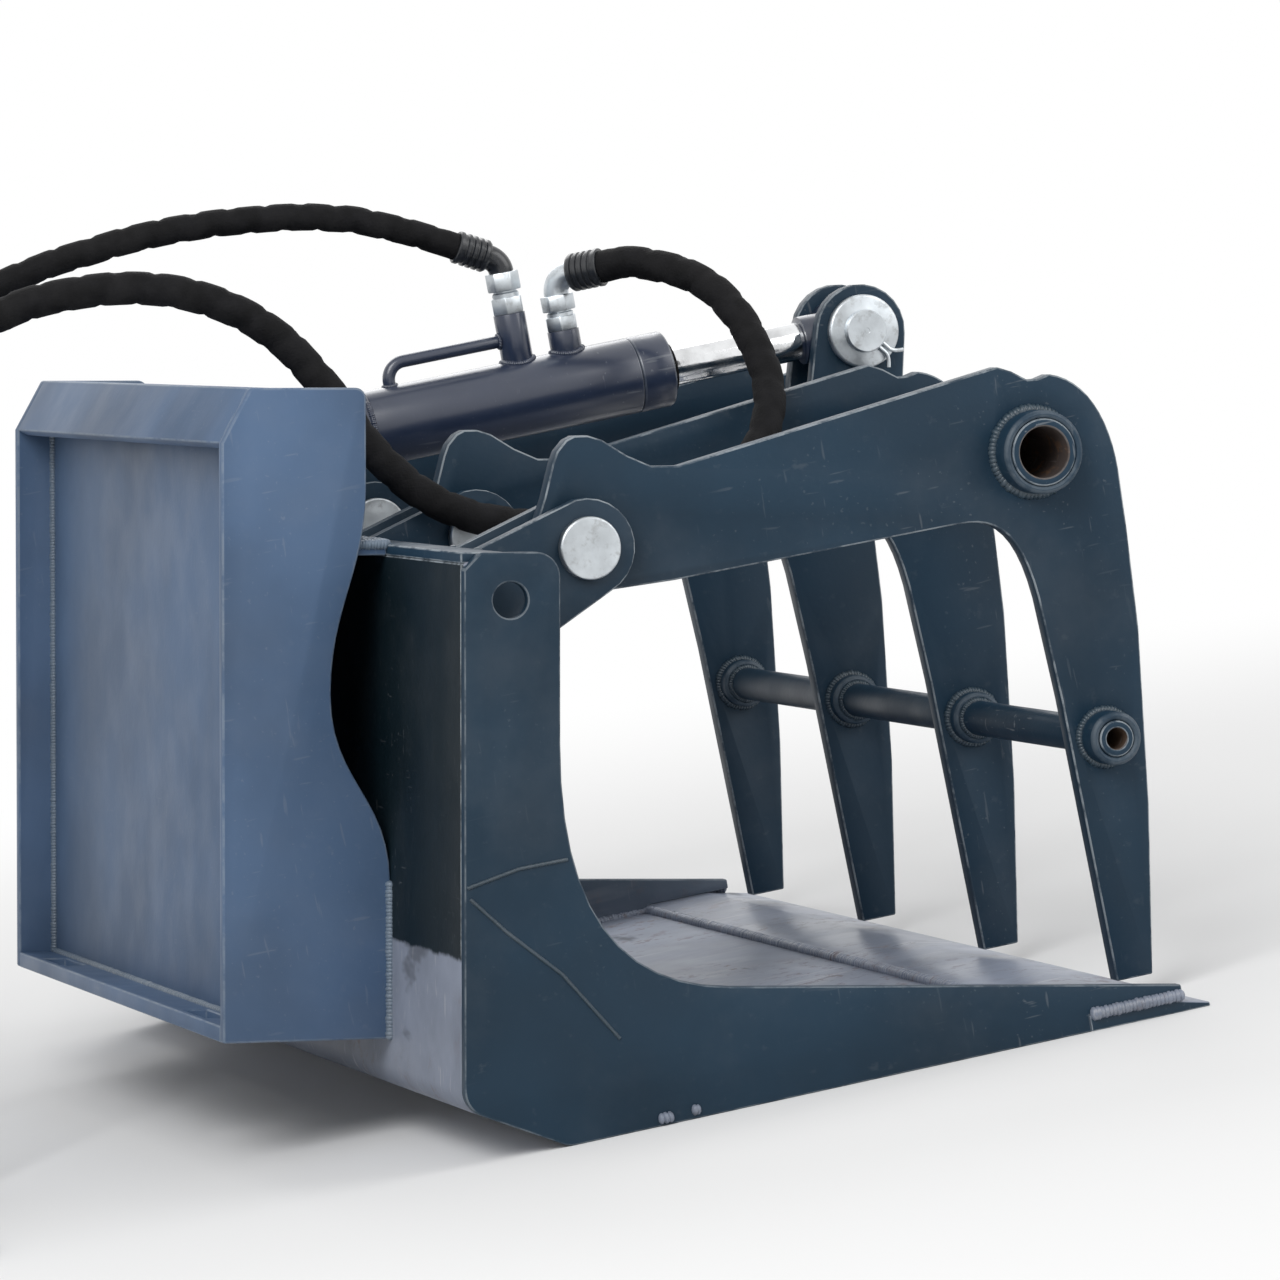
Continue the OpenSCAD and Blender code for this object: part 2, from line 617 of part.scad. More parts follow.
// Directions along a route, and a side direction carried along it without twist
function ways(q) = [for (i = [0:len(q) - 1]) let (d = q[min(i + 1, len(q) - 1)] - q[max(i - 1, 0)]) d / norm(d)];
function carried(w, i, n) = i == len(w) ? [] :
    let (m = n - (n * w[i]) * w[i], u = m / norm(m)) concat([u], carried(w, i + 1, u));
module hose(route, d) {
    w = ways(route);
    side = carried(w, 0, [0, 0, 1]);
    rings = len(route);
    color(black_rubber) polyhedron(
        points = [for (i = [0:rings - 1], k = [0:hose_sides - 1]) let (a = 360 * k / hose_sides)
            route[i] + d / 2 * (cos(a) * side[i] + sin(a) * cross(w[i], side[i]))],
        faces = concat([[for (k = [0:hose_sides - 1]) k]],
            [for (i = [0:rings - 2], k = [0:hose_sides - 1]) let (n = (k + 1) % hose_sides, b = i * hose_sides)
                [b + k, b + hose_sides + k, b + n]],
            [for (i = [0:rings - 2], k = [0:hose_sides - 1]) let (n = (k + 1) % hose_sides, b = i * hose_sides)
                [b + n, b + hose_sides + k, b + hose_sides + n]],
            [[for (k = [hose_sides - 1:-1:0]) (rings - 1) * hose_sides + k]]));
}
module hose_1() { hose(hose_1_route, hose_1_d); }
module hose_2() { hose(hose_2_route, hose_2_d); }
// A quick coupler that lies on the ground at a hose's far end, pointing along side * Y
coupler_d = 38;
coupler_l = 44;
coupler_neck_l = 22;
coupler_nose_d = 28;
coupler_nose_l = 20;
module quick_coupler(at, side, hose_d) {
    color(bare_steel) translate([at[0], at[1], coupler_d / 2]) rotate([-90 * side, 0, 0]) {
        cylinder(d = hose_d + ferrule_grow, h = coupler_neck_l);
        translate([0, 0, coupler_neck_l]) cylinder(d = coupler_d, h = coupler_l);
        translate([0, 0, coupler_neck_l + coupler_l]) cylinder(d = coupler_nose_d, h = coupler_nose_l);
    }
}
module quick_coupler_1() { quick_coupler(hose_1_route[len(hose_1_route) - 1], 1, hose_1_d); }
module quick_coupler_2() { quick_coupler(hose_2_route[len(hose_2_route) - 1], -1, hose_2_d); }

bucket_shell();
cutting_edge();
side_plate_right();
side_plate_left();
back_top_rail();
coupler_face();
coupler_top_lip();
coupler_bottom_ledge();
coupler_gusset_right();
coupler_gusset_left();
coupler_ribs();
coupler_shelf();
hinge_lugs(1);  // hinge_lugs_1
hinge_lugs(2);  // hinge_lugs_2
hinge_lugs(3);  // hinge_lugs_3
hinge_lugs(4);  // hinge_lugs_4
hinge_pin(1);  // hinge_pin_1
hinge_pin(2);  // hinge_pin_2
hinge_pin(3);  // hinge_pin_3
hinge_pin(4);  // hinge_pin_4
grapple_arm(1);  // grapple_arm_1
grapple_arm(2);  // grapple_arm_2
grapple_arm(3);  // grapple_arm_3
grapple_arm(4);  // grapple_arm_4
arm_bushes();
upper_cross_pipe();
lower_cross_pipe();
upper_collars();
lower_collars();
rod_lugs();
cylinder_base_lugs();
cylinder_base_pin();
cylinder_barrel();
cylinder_base_eye();
cylinder_gland();
gland_wiper();
port_bosses();
port_nuts();
elbow_1();
elbow_2();
hard_line();
piston();
piston_rod();
rod_eye();
rod_pin();
hose_1();
hose_2();
quick_coupler_1();
quick_coupler_2();
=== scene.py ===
import bpy, json, math, random
from mathutils import Matrix, Vector


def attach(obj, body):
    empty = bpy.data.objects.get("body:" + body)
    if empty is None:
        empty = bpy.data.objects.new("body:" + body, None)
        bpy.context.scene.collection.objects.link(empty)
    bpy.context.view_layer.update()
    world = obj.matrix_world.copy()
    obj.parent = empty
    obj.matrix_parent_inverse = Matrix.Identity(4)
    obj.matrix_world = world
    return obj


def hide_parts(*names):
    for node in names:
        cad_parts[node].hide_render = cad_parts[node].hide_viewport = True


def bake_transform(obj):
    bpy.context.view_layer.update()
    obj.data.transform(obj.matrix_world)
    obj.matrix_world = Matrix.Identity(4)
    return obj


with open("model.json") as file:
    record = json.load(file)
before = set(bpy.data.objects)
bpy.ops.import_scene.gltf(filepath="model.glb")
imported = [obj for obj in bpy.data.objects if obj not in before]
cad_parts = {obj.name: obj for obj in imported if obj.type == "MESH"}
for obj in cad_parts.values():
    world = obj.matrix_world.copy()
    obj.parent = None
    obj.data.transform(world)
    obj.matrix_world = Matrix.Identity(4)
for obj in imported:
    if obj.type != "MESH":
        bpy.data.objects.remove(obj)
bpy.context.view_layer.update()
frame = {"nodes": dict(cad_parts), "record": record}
nodes = frame["nodes"]
bodyOf = {n: b for b, members in frame["record"]["behaviour"]["bodies"].items() for n in members}
slotOf = {s["node"]: s["material_slot"] for s in frame["record"]["subparts"]}
random.seed(11)
print("frame loaded:", len(nodes), "nodes")

# sizes in metres; u runs forward from the back's outer face, v runs up along it
bucket = {
    "rake": 10.0,  # degrees that the back and the coupler lean forward
    "width": 1.060, "sideThick": 0.010, "shellThick": 0.006,
    "depth": 0.578, "edgeWidth": 0.094, "edgeThick": 0.012, "armAhead": 0.034,
    "backHeight": 0.438, "railWidth": 0.032, "railThick": 0.008,
    "heelUp": 0.042, "heelAhead": 0.079, "heelBend": 0.014,  # the slant at the heel and its two bends
    "heart": 0.25,  # ahead and up to a place inside, that the shell's inner faces look towards
}
coupler = {
    "width": 0.674, "low": 0.075, "standoff": 0.127, "pocket": 0.030, "plate": 0.010, "ledge": 0.012,
    "lipCorner": 0.547,
}
grapple = {
    "hingeOut": 0.115, "armThick": 0.015, "spreadShare": 0.8, "lugMid": 0.0245, "lugThick": 0.012,
    "lugRoot": 0.110, "bushRadius": 0.025, "tipGap": 0.004,
    "upperShares": (0.847, 0.013), "upperRadius": 0.025, "upperCollar": 0.031,
    "lowerShares": (0.895, -0.541), "lowerRadius": 0.0135, "lowerCollar": 0.020, "collarIn": 0.014,
    "rodLugIn": 0.0205, "rodLugOut": 0.0325,
}
cylinder = {
    "baseAhead": 0.036, "baseUp": 0.071, "rodAhead": 0.022, "rodUp": 0.086, "pinToPin": 0.44555,
    "barrelRadius": 0.030, "tubeFrom": 0.040, "bossRadius": 0.0125,
    "lineFrom": 0.066, "lineHigh": 0.047, "lineRadius": 0.005, "lugFrom": -0.064, "lugOut": 0.0325,
}
# the fittings on the barrel's two ports: places along and above its axis, and angles in degrees
fittings = {
    "one": {"along": 0.172, "bossTop": 0.067, "nutTop": 0.100, "bend": 0.015, "sweep": 62, "yaw": 180,
            "sleeve": 0.028, "hose": 0.022},
    "two": {"along": 0.213, "bossTop": 0.046, "nutTop": 0.074, "bend": 0.015, "sweep": 88, "yaw": -40,
            "sleeve": 0.028, "hose": 0.026},
}
leanAngle = math.radians(bucket["rake"])
rearReach = coupler["standoff"] * math.cos(leanAngle) - coupler["low"] * math.sin(leanAngle)
heelX = (rearReach - bucket["depth"] - bucket["armAhead"]) / 2
armStep = bucket["width"] * grapple["spreadShare"] / 3


def leaned(u, v, y=0.0):
    # a place measured along the leaning back, from the heel corner
    return Vector((u * math.cos(leanAngle) + v * math.sin(leanAngle) + heelX, y,
                   v * math.cos(leanAngle) - u * math.sin(leanAngle)))


def armY(n):
    return (n - 1.5) * armStep


# the arms' hinge, the pipes and the cylinder's pins, placed as the plates are
across = Vector((0, 1, 0))
hingeAt = leaned(grapple["hingeOut"], bucket["backHeight"])
baseAt = leaned(cylinder["baseAhead"], bucket["backHeight"] + cylinder["baseUp"])
armReach = bucket["depth"] + bucket["armAhead"] - (hingeAt.x - heelX)
armDrop = hingeAt.z - bucket["edgeThick"] - grapple["tipGap"]


def onArm(shares):
    return hingeAt + Vector((shares[0] * armReach, 0, shares[1] * armDrop))


upperPipe, lowerPipe = onArm(grapple["upperShares"]), onArm(grapple["lowerShares"])
rodAt = upperPipe + Vector((cylinder["rodAhead"], 0, cylinder["rodUp"]))
axis = (rodAt - baseAt).normalized()
rise = Vector((-axis.z, 0, axis.x))


def onCylinder(along, y, high):
    # a place measured from the cylinder's base pin, along its axis and above it
    return baseAt + axis * along + rise * high + across * y


# modelling helpers
mergeGap = 0.00001


def deselect():
    if bpy.context.object and bpy.context.object.mode != "OBJECT":
        bpy.ops.object.mode_set(mode="OBJECT")
    bpy.ops.object.select_all(action="DESELECT")


def pick(obj):
    deselect()
    obj.select_set(True)
    bpy.context.view_layer.objects.active = obj


def editAll(obj):
    pick(obj)
    bpy.ops.object.mode_set(mode="EDIT")
    bpy.ops.mesh.select_all(action="SELECT")


def settle(obj):
    # put the place into the mesh, with the object at the origin
    pick(obj)
    bpy.ops.object.transform_apply(location=True, rotation=True, scale=True)


def stand(obj, at, way, turn=0.0):
    # stand a piece modelled upright at the origin on its place, with its top along way
    spin = Matrix.Rotation(turn, 4, "Z")
    obj.matrix_world = Matrix.Translation(at) @ way.to_track_quat("Z", "Y").to_matrix().to_4x4() @ spin
    settle(obj)


def newMesh(name, verts, faces, edges=()):
    mesh = bpy.data.meshes.new(name)
    mesh.from_pydata([tuple(v) for v in verts], edges, faces)
    mesh.update()
    obj = bpy.data.objects.new(name, mesh)
    bpy.context.scene.collection.objects.link(obj)
    return obj


def smooth(obj, angle):
    pick(obj)
    bpy.ops.object.shade_smooth_by_angle(angle=math.radians(angle))


def paintIt(obj, material):
    obj.data.materials.clear()
    obj.data.materials.append(material)


def bevelEdges(obj, width, segments, sharp):
    mod = obj.modifiers.new("edge", "BEVEL")
    mod.width = width
    mod.segments = segments
    mod.limit_method = "ANGLE"
    mod.angle_limit = math.radians(sharp)
    mod.use_clamp_overlap = True
    mod.material = len(obj.data.materials) - 1
    pick(obj)
    bpy.ops.object.modifier_apply(modifier=mod.name)


def fullTurn(count):
    return [2 * math.pi * k / count for k in range(count)]


def markFaces(obj, name, test):
    # a face attribute for the finishes: 1 where the test holds
    mark = obj.data.attributes.new(name, "FLOAT", "FACE")
    mark.data.foreach_set("value", [1.0 if test(p) else 0.0 for p in obj.data.polygons])


def turned(name, profile, at, way, steps=36):
    # a lathe-turned piece: its half section, as (radius, height), spun about the axis
    verts = [(r, 0, h) for r, h in profile]
    obj = newMesh(name, verts, [], [(i, i + 1) for i in range(len(verts) - 1)])
    editAll(obj)
    bpy.ops.mesh.spin(steps=steps, angle=2 * math.pi, center=(0, 0, 0), axis=(0, 0, 1))
    bpy.ops.mesh.select_all(action="SELECT")
    bpy.ops.mesh.remove_doubles(threshold=mergeGap)
    bpy.ops.mesh.normals_make_consistent(inside=False)
    bpy.ops.object.mode_set(mode="OBJECT")
    stand(obj, at, way)
    return obj


def joined(parts, name):
    pick(parts[0])
    for p in parts[1:]:
        p.select_set(True)
    bpy.ops.object.join()
    parts[0].name = name
    return parts[0]


def finishPiece(obj, finish, body, slotName, hides=(), angle=35):
    smooth(obj, angle)
    paintIt(obj, paints[finish])
    if hides:
        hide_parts(*hides)
    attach(obj, body)
    return obj


# the camera stands behind and to the right, upright with the coupler
cameraPlace = {
    "at": leaned(-1.446, 0.602, -5.449), "aim": leaned(0.300, 0.350, 0.0), "lens": 204.0, "reach": 60,
}


def addCamera():
    deselect()
    bpy.ops.object.camera_add(location=cameraPlace["at"])
    cam = bpy.context.object
    cam.name = "photoCamera"
    back = (cameraPlace["at"] - cameraPlace["aim"]).normalized()
    up = leaned(0, 1) - leaned(0, 0)
    right = up.cross(back).normalized()
    cam.matrix_world = Matrix((right, back.cross(right), back)).transposed().to_4x4()
    cam.location = cameraPlace["at"]
    cam.data.lens = cameraPlace["lens"]
    cam.data.clip_end = cameraPlace["reach"]
    bpy.context.scene.camera = cam


addCamera()

# shader helpers


def makeGroup(name, inputs, outputs):
    tree = bpy.data.node_groups.new(name, "ShaderNodeTree")
    for label, kind, value in inputs:
        s = tree.interface.new_socket(label, in_out="INPUT", socket_type="NodeSocket" + kind)
        s.default_value = value
    for label, kind in outputs:
        tree.interface.new_socket(label, in_out="OUTPUT", socket_type="NodeSocket" + kind)
    return tree, tree.nodes.new("NodeGroupInput").outputs, tree.nodes.new("NodeGroupOutput").inputs


def plug(tree, value, socket):
    if isinstance(value, (int, float, tuple)):
        socket.default_value = value
    else:
        tree.links.new(value, socket)


def shaderNode(tree, kind, inputs, **settings):
    n = tree.nodes.new("ShaderNode" + kind)
    for key, value in settings.items():
        setattr(n, key, value)
    for key, value in inputs.items():
        plug(tree, value, n.inputs[key])
    return n


def noise(tree, vector, scale, detail, rough=0.5):
    inputs = {"Scale": scale, "Detail": detail, "Roughness": rough, "Vector": vector}
    return shaderNode(tree, "TexNoise", inputs).outputs["Fac"]


def band(tree, value, low, high, toLow=0.0, toHigh=1.0):
    inputs = {0: value, 1: low, 2: high, 3: toLow, 4: toHigh}
    return shaderNode(tree, "MapRange", inputs, interpolation_type="SMOOTHSTEP").outputs[0]


def sums(tree, op, a, b):
    return shaderNode(tree, "Math", {0: a, 1: b}, operation=op).outputs[0]


def times(tree, a, b):
    return sums(tree, "MULTIPLY", a, b)


def mixColour(tree, fac, a, b):
    return shaderNode(tree, "Mix", {0: fac, 6: a, 7: b}, data_type="RGBA").outputs[2]


def shaded(tree, colour, amount):
    return shaderNode(tree, "VectorMath", {0: colour, "Scale": amount}, operation="SCALE").outputs[0]


def stretched(tree, vector, scale, turn=(0, 0, 0)):
    return shaderNode(tree, "Mapping", {"Scale": scale, "Rotation": turn, "Vector": vector}).outputs["Vector"]


def objectPlace(tree):
    return shaderNode(tree, "TexCoord", {}).outputs["Object"]


def marked(tree, name):
    return shaderNode(tree, "Attribute", {}, attribute_name=name).outputs["Fac"]


def bumped(tree, height, strength, distance):
    return shaderNode(tree, "Bump", {"Distance": distance, "Strength": strength, "Height": height}).outputs[0]


# each grain: noise scale, detail and roughness, the band read from it, and what that becomes if not 0 to 1
grains = {
    "tone": (6.0, 4.0, 0.5, 0.3, 0.7, 0.84, 1.18), "scratchPatch": (5.0, 2.0, 0.5, 0.46, 0.66),
    "hairline": (1.0, 2.0, 0.4, 0.70, 0.745), "dustSpeck": (85.0, 5.0, 0.65, 0.60, 0.74),
    "dustFilm": (9.0, 5.0, 0.6, 0.46, 0.74), "scuff": (1.0, 5.0, 0.7, 0.66, 0.72),
    "wornEdge": (38.0, 4.0, 0.7, 0.36, 0.60, 0.1, 1.0), "gloss": (19.0, 3.0, 0.5, 0.3, 0.7, -0.05, 0.07),
    "plating": (40.0, 4.0, 0.5, 0.3, 0.7, 0.80, 1.14), "grime": (95.0, 5.0, 0.7, 0.50, 0.68),
    "platedGloss": (60.0, 3.0, 0.5, 0.3, 0.7, -0.04, 0.12),
    "waver": (60.0, 4.0, 0.5, 0.3, 0.7, -0.0012, 0.0012), "blotch": (1.0, 4.0, 0.55, 0.36, 0.60, 0.72, 1.0),
    "rubbedTone": (9.0, 4.0, 0.6, 0.3, 0.7, 0.82, 1.14), "drag": (1.0, 3.0, 0.5, 0.62, 0.72),
    "stain": (1.0, 4.0, 0.6, 0.62, 0.69), "rustCloud": (7.0, 3.0, 0.5, 0.42, 0.62),
    "rustSpeck": (70.0, 5.0, 0.7, 0.53, 0.63),
    "rubberFilm": (30.0, 5.0, 0.65, 0.42, 0.70), "rubberTone": (60.0, 4.0, 0.5, 0.3, 0.7, 0.6, 1.5),
}
# how far the noise is drawn out in x, y and z, and how it is turned
scratchRuns = (((26, 250, 250), (0.3, 0.2, 0.5)), ((320, 34, 320), (1.2, 0.9, 2.1)),
               ((280, 280, 30), (0.1, 1.3, 0.4)))
braidRuns = (((700, 700, 180), (0.7, 0.3, 0)), ((180, 700, 700), (0, 0.5, 0.7)))
drawnOut = {"scuff": [(14, 14, 26)], "blotch": [(3.4, 2.2, 3.4)], "drag": [(5, 170, 40)],
            "stain": [(15, 6, 15), (0, 0, 0.35)]}
paintMix = {"speck": 0.35, "film": 0.4, "scuff": 0.55, "dustRough": 0.5, "scratch": (0.30, 0.32, 0.34, 1),
            "scratchDepth": -0.8, "peelScale": 210.0, "peelDepth": 0.0006}
metalMix = {"grimeRough": 0.4, "turnScale": 320.0, "turnBump": 0.25, "turnDepth": 0.0003}
workedMix = {"fade": 0.14, "litHeelFade": 0.004, "heel": 0.84, "drag": 0.5, "dragColour": (0.36, 0.37, 0.40, 1),
             "stain": 0.7, "stainRough": 0.2, "dragGloss": 0.08}
rubberMix = {"dustRough": 0.15, "bump": 0.6, "depth": 0.0006}
surfaceOutputs = [("Color", "Color"), ("Roughness", "Float"), ("Normal", "Vector")]


def grained(tree, where, name):
    scale, detail, rough, *span = grains[name]
    if name in drawnOut:
        where = stretched(tree, where, *drawnOut[name])
    return band(tree, noise(tree, where, scale, detail, rough), *span)


def makePaintGroup():
    # sprayed paint: cloudy tone, fine orange peel, hair scratches, settled dust, and bright cut edges, which
    # are partly worn paint and partly painted highlight
    tree, given, result = makeGroup("paintSurface", [
        ("Base", "Color", (0.1, 0.12, 0.15, 1)), ("Rough", "Float", 0.35), ("Scratches", "Float", 0.5),
        ("Dust", "Float", 0.3), ("DustColour", "Color", (0.30, 0.31, 0.32, 1)), ("Peel", "Float", 0.3),
        ("EdgeWearAndGlint", "Float", 0.5), ("EdgeWearAndGlintColour", "Color", (0.33, 0.37, 0.40, 1)),
    ], surfaceOutputs)
    where, mix = objectPlace(tree), paintMix
    shade = shaded(tree, given["Base"], grained(tree, where, "tone"))
    lines = [grained(tree, stretched(tree, where, *run), "hairline") for run in scratchRuns]
    hair = sums(tree, "MAXIMUM", lines[0], sums(tree, "MAXIMUM", lines[1], lines[2]))
    scratch = times(tree, times(tree, hair, grained(tree, where, "scratchPatch")), given["Scratches"])
    speck = times(tree, grained(tree, where, "dustSpeck"), mix["speck"])
    film = times(tree, grained(tree, where, "dustFilm"), mix["film"])
    scuff = times(tree, grained(tree, where, "scuff"), mix["scuff"])
    dust = times(tree, sums(tree, "ADD", speck, sums(tree, "ADD", film, scuff)), given["Dust"])
    colour = mixColour(tree, dust, shade, given["DustColour"])
    colour = mixColour(tree, scratch, colour, mix["scratch"])
    # painted highlight: the bright edge colour stands partly for light glinting on the cut edges and partly
    # for paint worn off them
    edge = times(tree, times(tree, marked(tree, "edge"), grained(tree, where, "wornEdge")), given["EdgeWearAndGlint"])
    colour = mixColour(tree, edge, colour, given["EdgeWearAndGlintColour"])
    plug(tree, colour, result["Color"])
    rough = sums(tree, "ADD", given["Rough"], times(tree, dust, mix["dustRough"]))
    plug(tree, sums(tree, "ADD", rough, grained(tree, where, "gloss")), result["Roughness"])
    peel = noise(tree, where, mix["peelScale"], 2.0)
    height = sums(tree, "ADD", peel, times(tree, scratch, mix["scratchDepth"]))
    plug(tree, bumped(tree, height, given["Peel"], mix["peelDepth"]), result["Normal"])
    return tree


def makeMetalGroup():
    # plated or bare steel: cloudy plating, turning marks and grime
    tree, given, result = makeGroup("platedSurface", [
        ("Base", "Color", (0.6, 0.6, 0.6, 1)), ("Rough", "Float", 0.25), ("Grime", "Float", 0.3),
        ("GrimeColour", "Color", (0.12, 0.10, 0.08, 1)),
    ], surfaceOutputs)
    where, mix = objectPlace(tree), metalMix
    shade = shaded(tree, given["Base"], grained(tree, where, "plating"))
    spots = times(tree, grained(tree, where, "grime"), given["Grime"])
    plug(tree, mixColour(tree, spots, shade, given["GrimeColour"]), result["Color"])
    rough = sums(tree, "ADD", given["Rough"], grained(tree, where, "platedGloss"))
    plug(tree, sums(tree, "ADD", rough, times(tree, spots, mix["grimeRough"])), result["Roughness"])
    turning = noise(tree, where, mix["turnScale"], 2.0)
    plug(tree, bumped(tree, turning, mix["turnBump"], mix["turnDepth"]), result["Normal"])
    return tree


def makeWorkedGroup():
    # where earth has slid over the paint: rubbed blotches, drag marks, dark stains and rust specks; and a
    # lighter strip below a set height, which is painted light
    tree, given, result = makeGroup("workedSurface", [
        ("Color", "Color", (0.1, 0.1, 0.1, 1)), ("Roughness", "Float", 0.4),
        ("Rubbed", "Color", (0.245, 0.275, 0.345, 1)), ("Stain", "Color", (0.055, 0.06, 0.072, 1)),
        ("Rust", "Color", (0.16, 0.085, 0.045, 1)), ("RustAmount", "Float", 0.4),
        ("WornTo", "Float", 9.0), ("LitHeelTo", "Float", -1.0),
    ], surfaceOutputs[:2])
    where, mix = objectPlace(tree), workedMix
    parts = shaderNode(tree, "SeparateXYZ", {0: where})
    height = sums(tree, "ADD", parts.outputs["Z"], grained(tree, where, "waver"))
    worn, heel = given["WornTo"], given["LitHeelTo"]
    wornBand = band(tree, height, worn, sums(tree, "SUBTRACT", worn, mix["fade"]))
    inner = times(tree, marked(tree, "inner"), wornBand)
    # painted light: below the given height the rubbed look covers the outer faces too, a lighter strip along
    # the heel that stands in for the lit lower back under a shadow edge
    litHeelStrip = times(tree, band(tree, height, heel, sums(tree, "SUBTRACT", heel, mix["litHeelFade"])), mix["heel"])
    inner = sums(tree, "MAXIMUM", inner, litHeelStrip)
    blotch = grained(tree, where, "blotch")
    rubbed = shaded(tree, given["Rubbed"], grained(tree, where, "rubbedTone"))
    colour = mixColour(tree, times(tree, blotch, inner), given["Color"], rubbed)
    drag = grained(tree, where, "drag")
    colour = mixColour(tree, times(tree, times(tree, drag, inner), mix["drag"]), colour, mix["dragColour"])
    stain = grained(tree, where, "stain")
    colour = mixColour(tree, times(tree, times(tree, stain, inner), mix["stain"]), colour, given["Stain"])
    cloud = grained(tree, where, "rustCloud")
    rust = times(tree, times(tree, grained(tree, where, "rustSpeck"), cloud), inner)
    colour = mixColour(tree, times(tree, rust, given["RustAmount"]), colour, given["Rust"])
    plug(tree, colour, result["Color"])
    dull = times(tree, sums(tree, "ADD", stain, rust), times(tree, inner, mix["stainRough"]))
    slick = times(tree, drag, times(tree, inner, mix["dragGloss"]))
    rough = sums(tree, "ADD", given["Roughness"], dull)
    plug(tree, sums(tree, "SUBTRACT", rough, slick), result["Roughness"])
    return tree


def makeRubberGroup():
    # a woven guard: fine braid over the hose and a film of dust in its folds
    tree, given, result = makeGroup("braidSurface", [
        ("Base", "Color", (0.02, 0.02, 0.022, 1)), ("Rough", "Float", 0.6),
        ("DustColour", "Color", (0.10, 0.097, 0.092, 1)), ("Dust", "Float", 0.5),
    ], surfaceOutputs)
    where, mix = objectPlace(tree), rubberMix
    film = grained(tree, where, "rubberFilm")
    shade = shaded(tree, given["Base"], grained(tree, where, "rubberTone"))
    dust = times(tree, film, given["Dust"])
    plug(tree, mixColour(tree, dust, shade, given["DustColour"]), result["Color"])
    rough = sums(tree, "ADD", given["Rough"], times(tree, film, mix["dustRough"]))
    plug(tree, rough, result["Roughness"])
    weave = sums(tree, "ADD", *(noise(tree, stretched(tree, where, *run), 1.0, 1.0) for run in braidRuns))
    plug(tree, bumped(tree, weave, mix["bump"], mix["depth"]), result["Normal"])
    return tree


paintGroup, metalGroup, workedGroup, rubberGroup = (
    makePaintGroup(), makeMetalGroup(), makeWorkedGroup(), makeRubberGroup())
socketOf = {
    "metallic": "Metallic", "coat": "Coat Weight", "coatRough": "Coat Roughness",
    "specular": "Specular IOR Level",
}


def makeMaterial(name, group, values, worked=None, **plain):
    mat = bpy.data.materials.new(name)
    mat.use_nodes = True
    tree = mat.node_tree
    bsdf = tree.nodes["Principled BSDF"]
    last = surface = shaderNode(tree, "Group", values, node_tree=group)
    if worked is not None:
        under = {key: surface.outputs[key] for key in ("Color", "Roughness")}
        last = shaderNode(tree, "Group", dict(under, **worked), node_tree=workedGroup)
    plug(tree, last.outputs["Color"], bsdf.inputs["Base Color"])
    plug(tree, last.outputs["Roughness"], bsdf.inputs["Roughness"])
    plug(tree, surface.outputs["Normal"], bsdf.inputs["Normal"])
    for key, value in plain.items():
        bsdf.inputs[socketOf[key]].default_value = value
    mat.diffuse_color = values["Base"]
    return mat


darkCoat = {"Base": (0.0085, 0.028, 0.051, 1), "Rough": 0.46, "Scratches": 0.16, "Dust": 0.12, "Peel": 0.22,
            "EdgeWearAndGlint": 0.7}
lightCoat = {"Base": (0.068, 0.115, 0.200, 1), "Rough": 0.50, "Scratches": 0.14, "Dust": 0.14, "Peel": 0.22,
             "EdgeWearAndGlint": 0.3}
# painted shade: the shell's paint is made near black, for its back sheet that lies in shade behind the coupler
shellShadeCoat = dict(darkCoat, Base=(0.0035, 0.009, 0.013, 1), Dust=0.07)
barrelCoat = {"Base": (0.016, 0.026, 0.056, 1), "Rough": 0.34, "Scratches": 0.2, "Dust": 0.10, "Peel": 0.10,
              "EdgeWearAndGlint": 0.2}
blackCoat = {"Base": (0.012, 0.014, 0.018, 1), "Rough": 0.3, "Scratches": 0.4, "Dust": 0.15, "Peel": 0.2,
             "EdgeWearAndGlint": 0.3}
weldDark = dict(darkCoat, Base=(0.034, 0.056, 0.076, 1), Rough=0.34, Dust=0.5, Peel=0.4)
weldPale = dict(lightCoat, Base=(0.12, 0.16, 0.21, 1), Rough=0.36, Dust=0.7, Peel=0.4)
guard = {"Base": (0.0055, 0.0055, 0.0065, 1), "Rough": 0.72, "Dust": 0.2,
         "DustColour": (0.035, 0.034, 0.033, 1)}
zinc = {"Base": (0.60, 0.64, 0.67, 1), "Rough": 0.34, "Grime": 0.3}
chrome = {"Base": (0.78, 0.79, 0.80, 1), "Rough": 0.10, "Grime": 0.08}
pipeRust = {"Rubbed": (0.085, 0.058, 0.042, 1), "Stain": (0.03, 0.02, 0.016, 1), "RustAmount": 0.9}
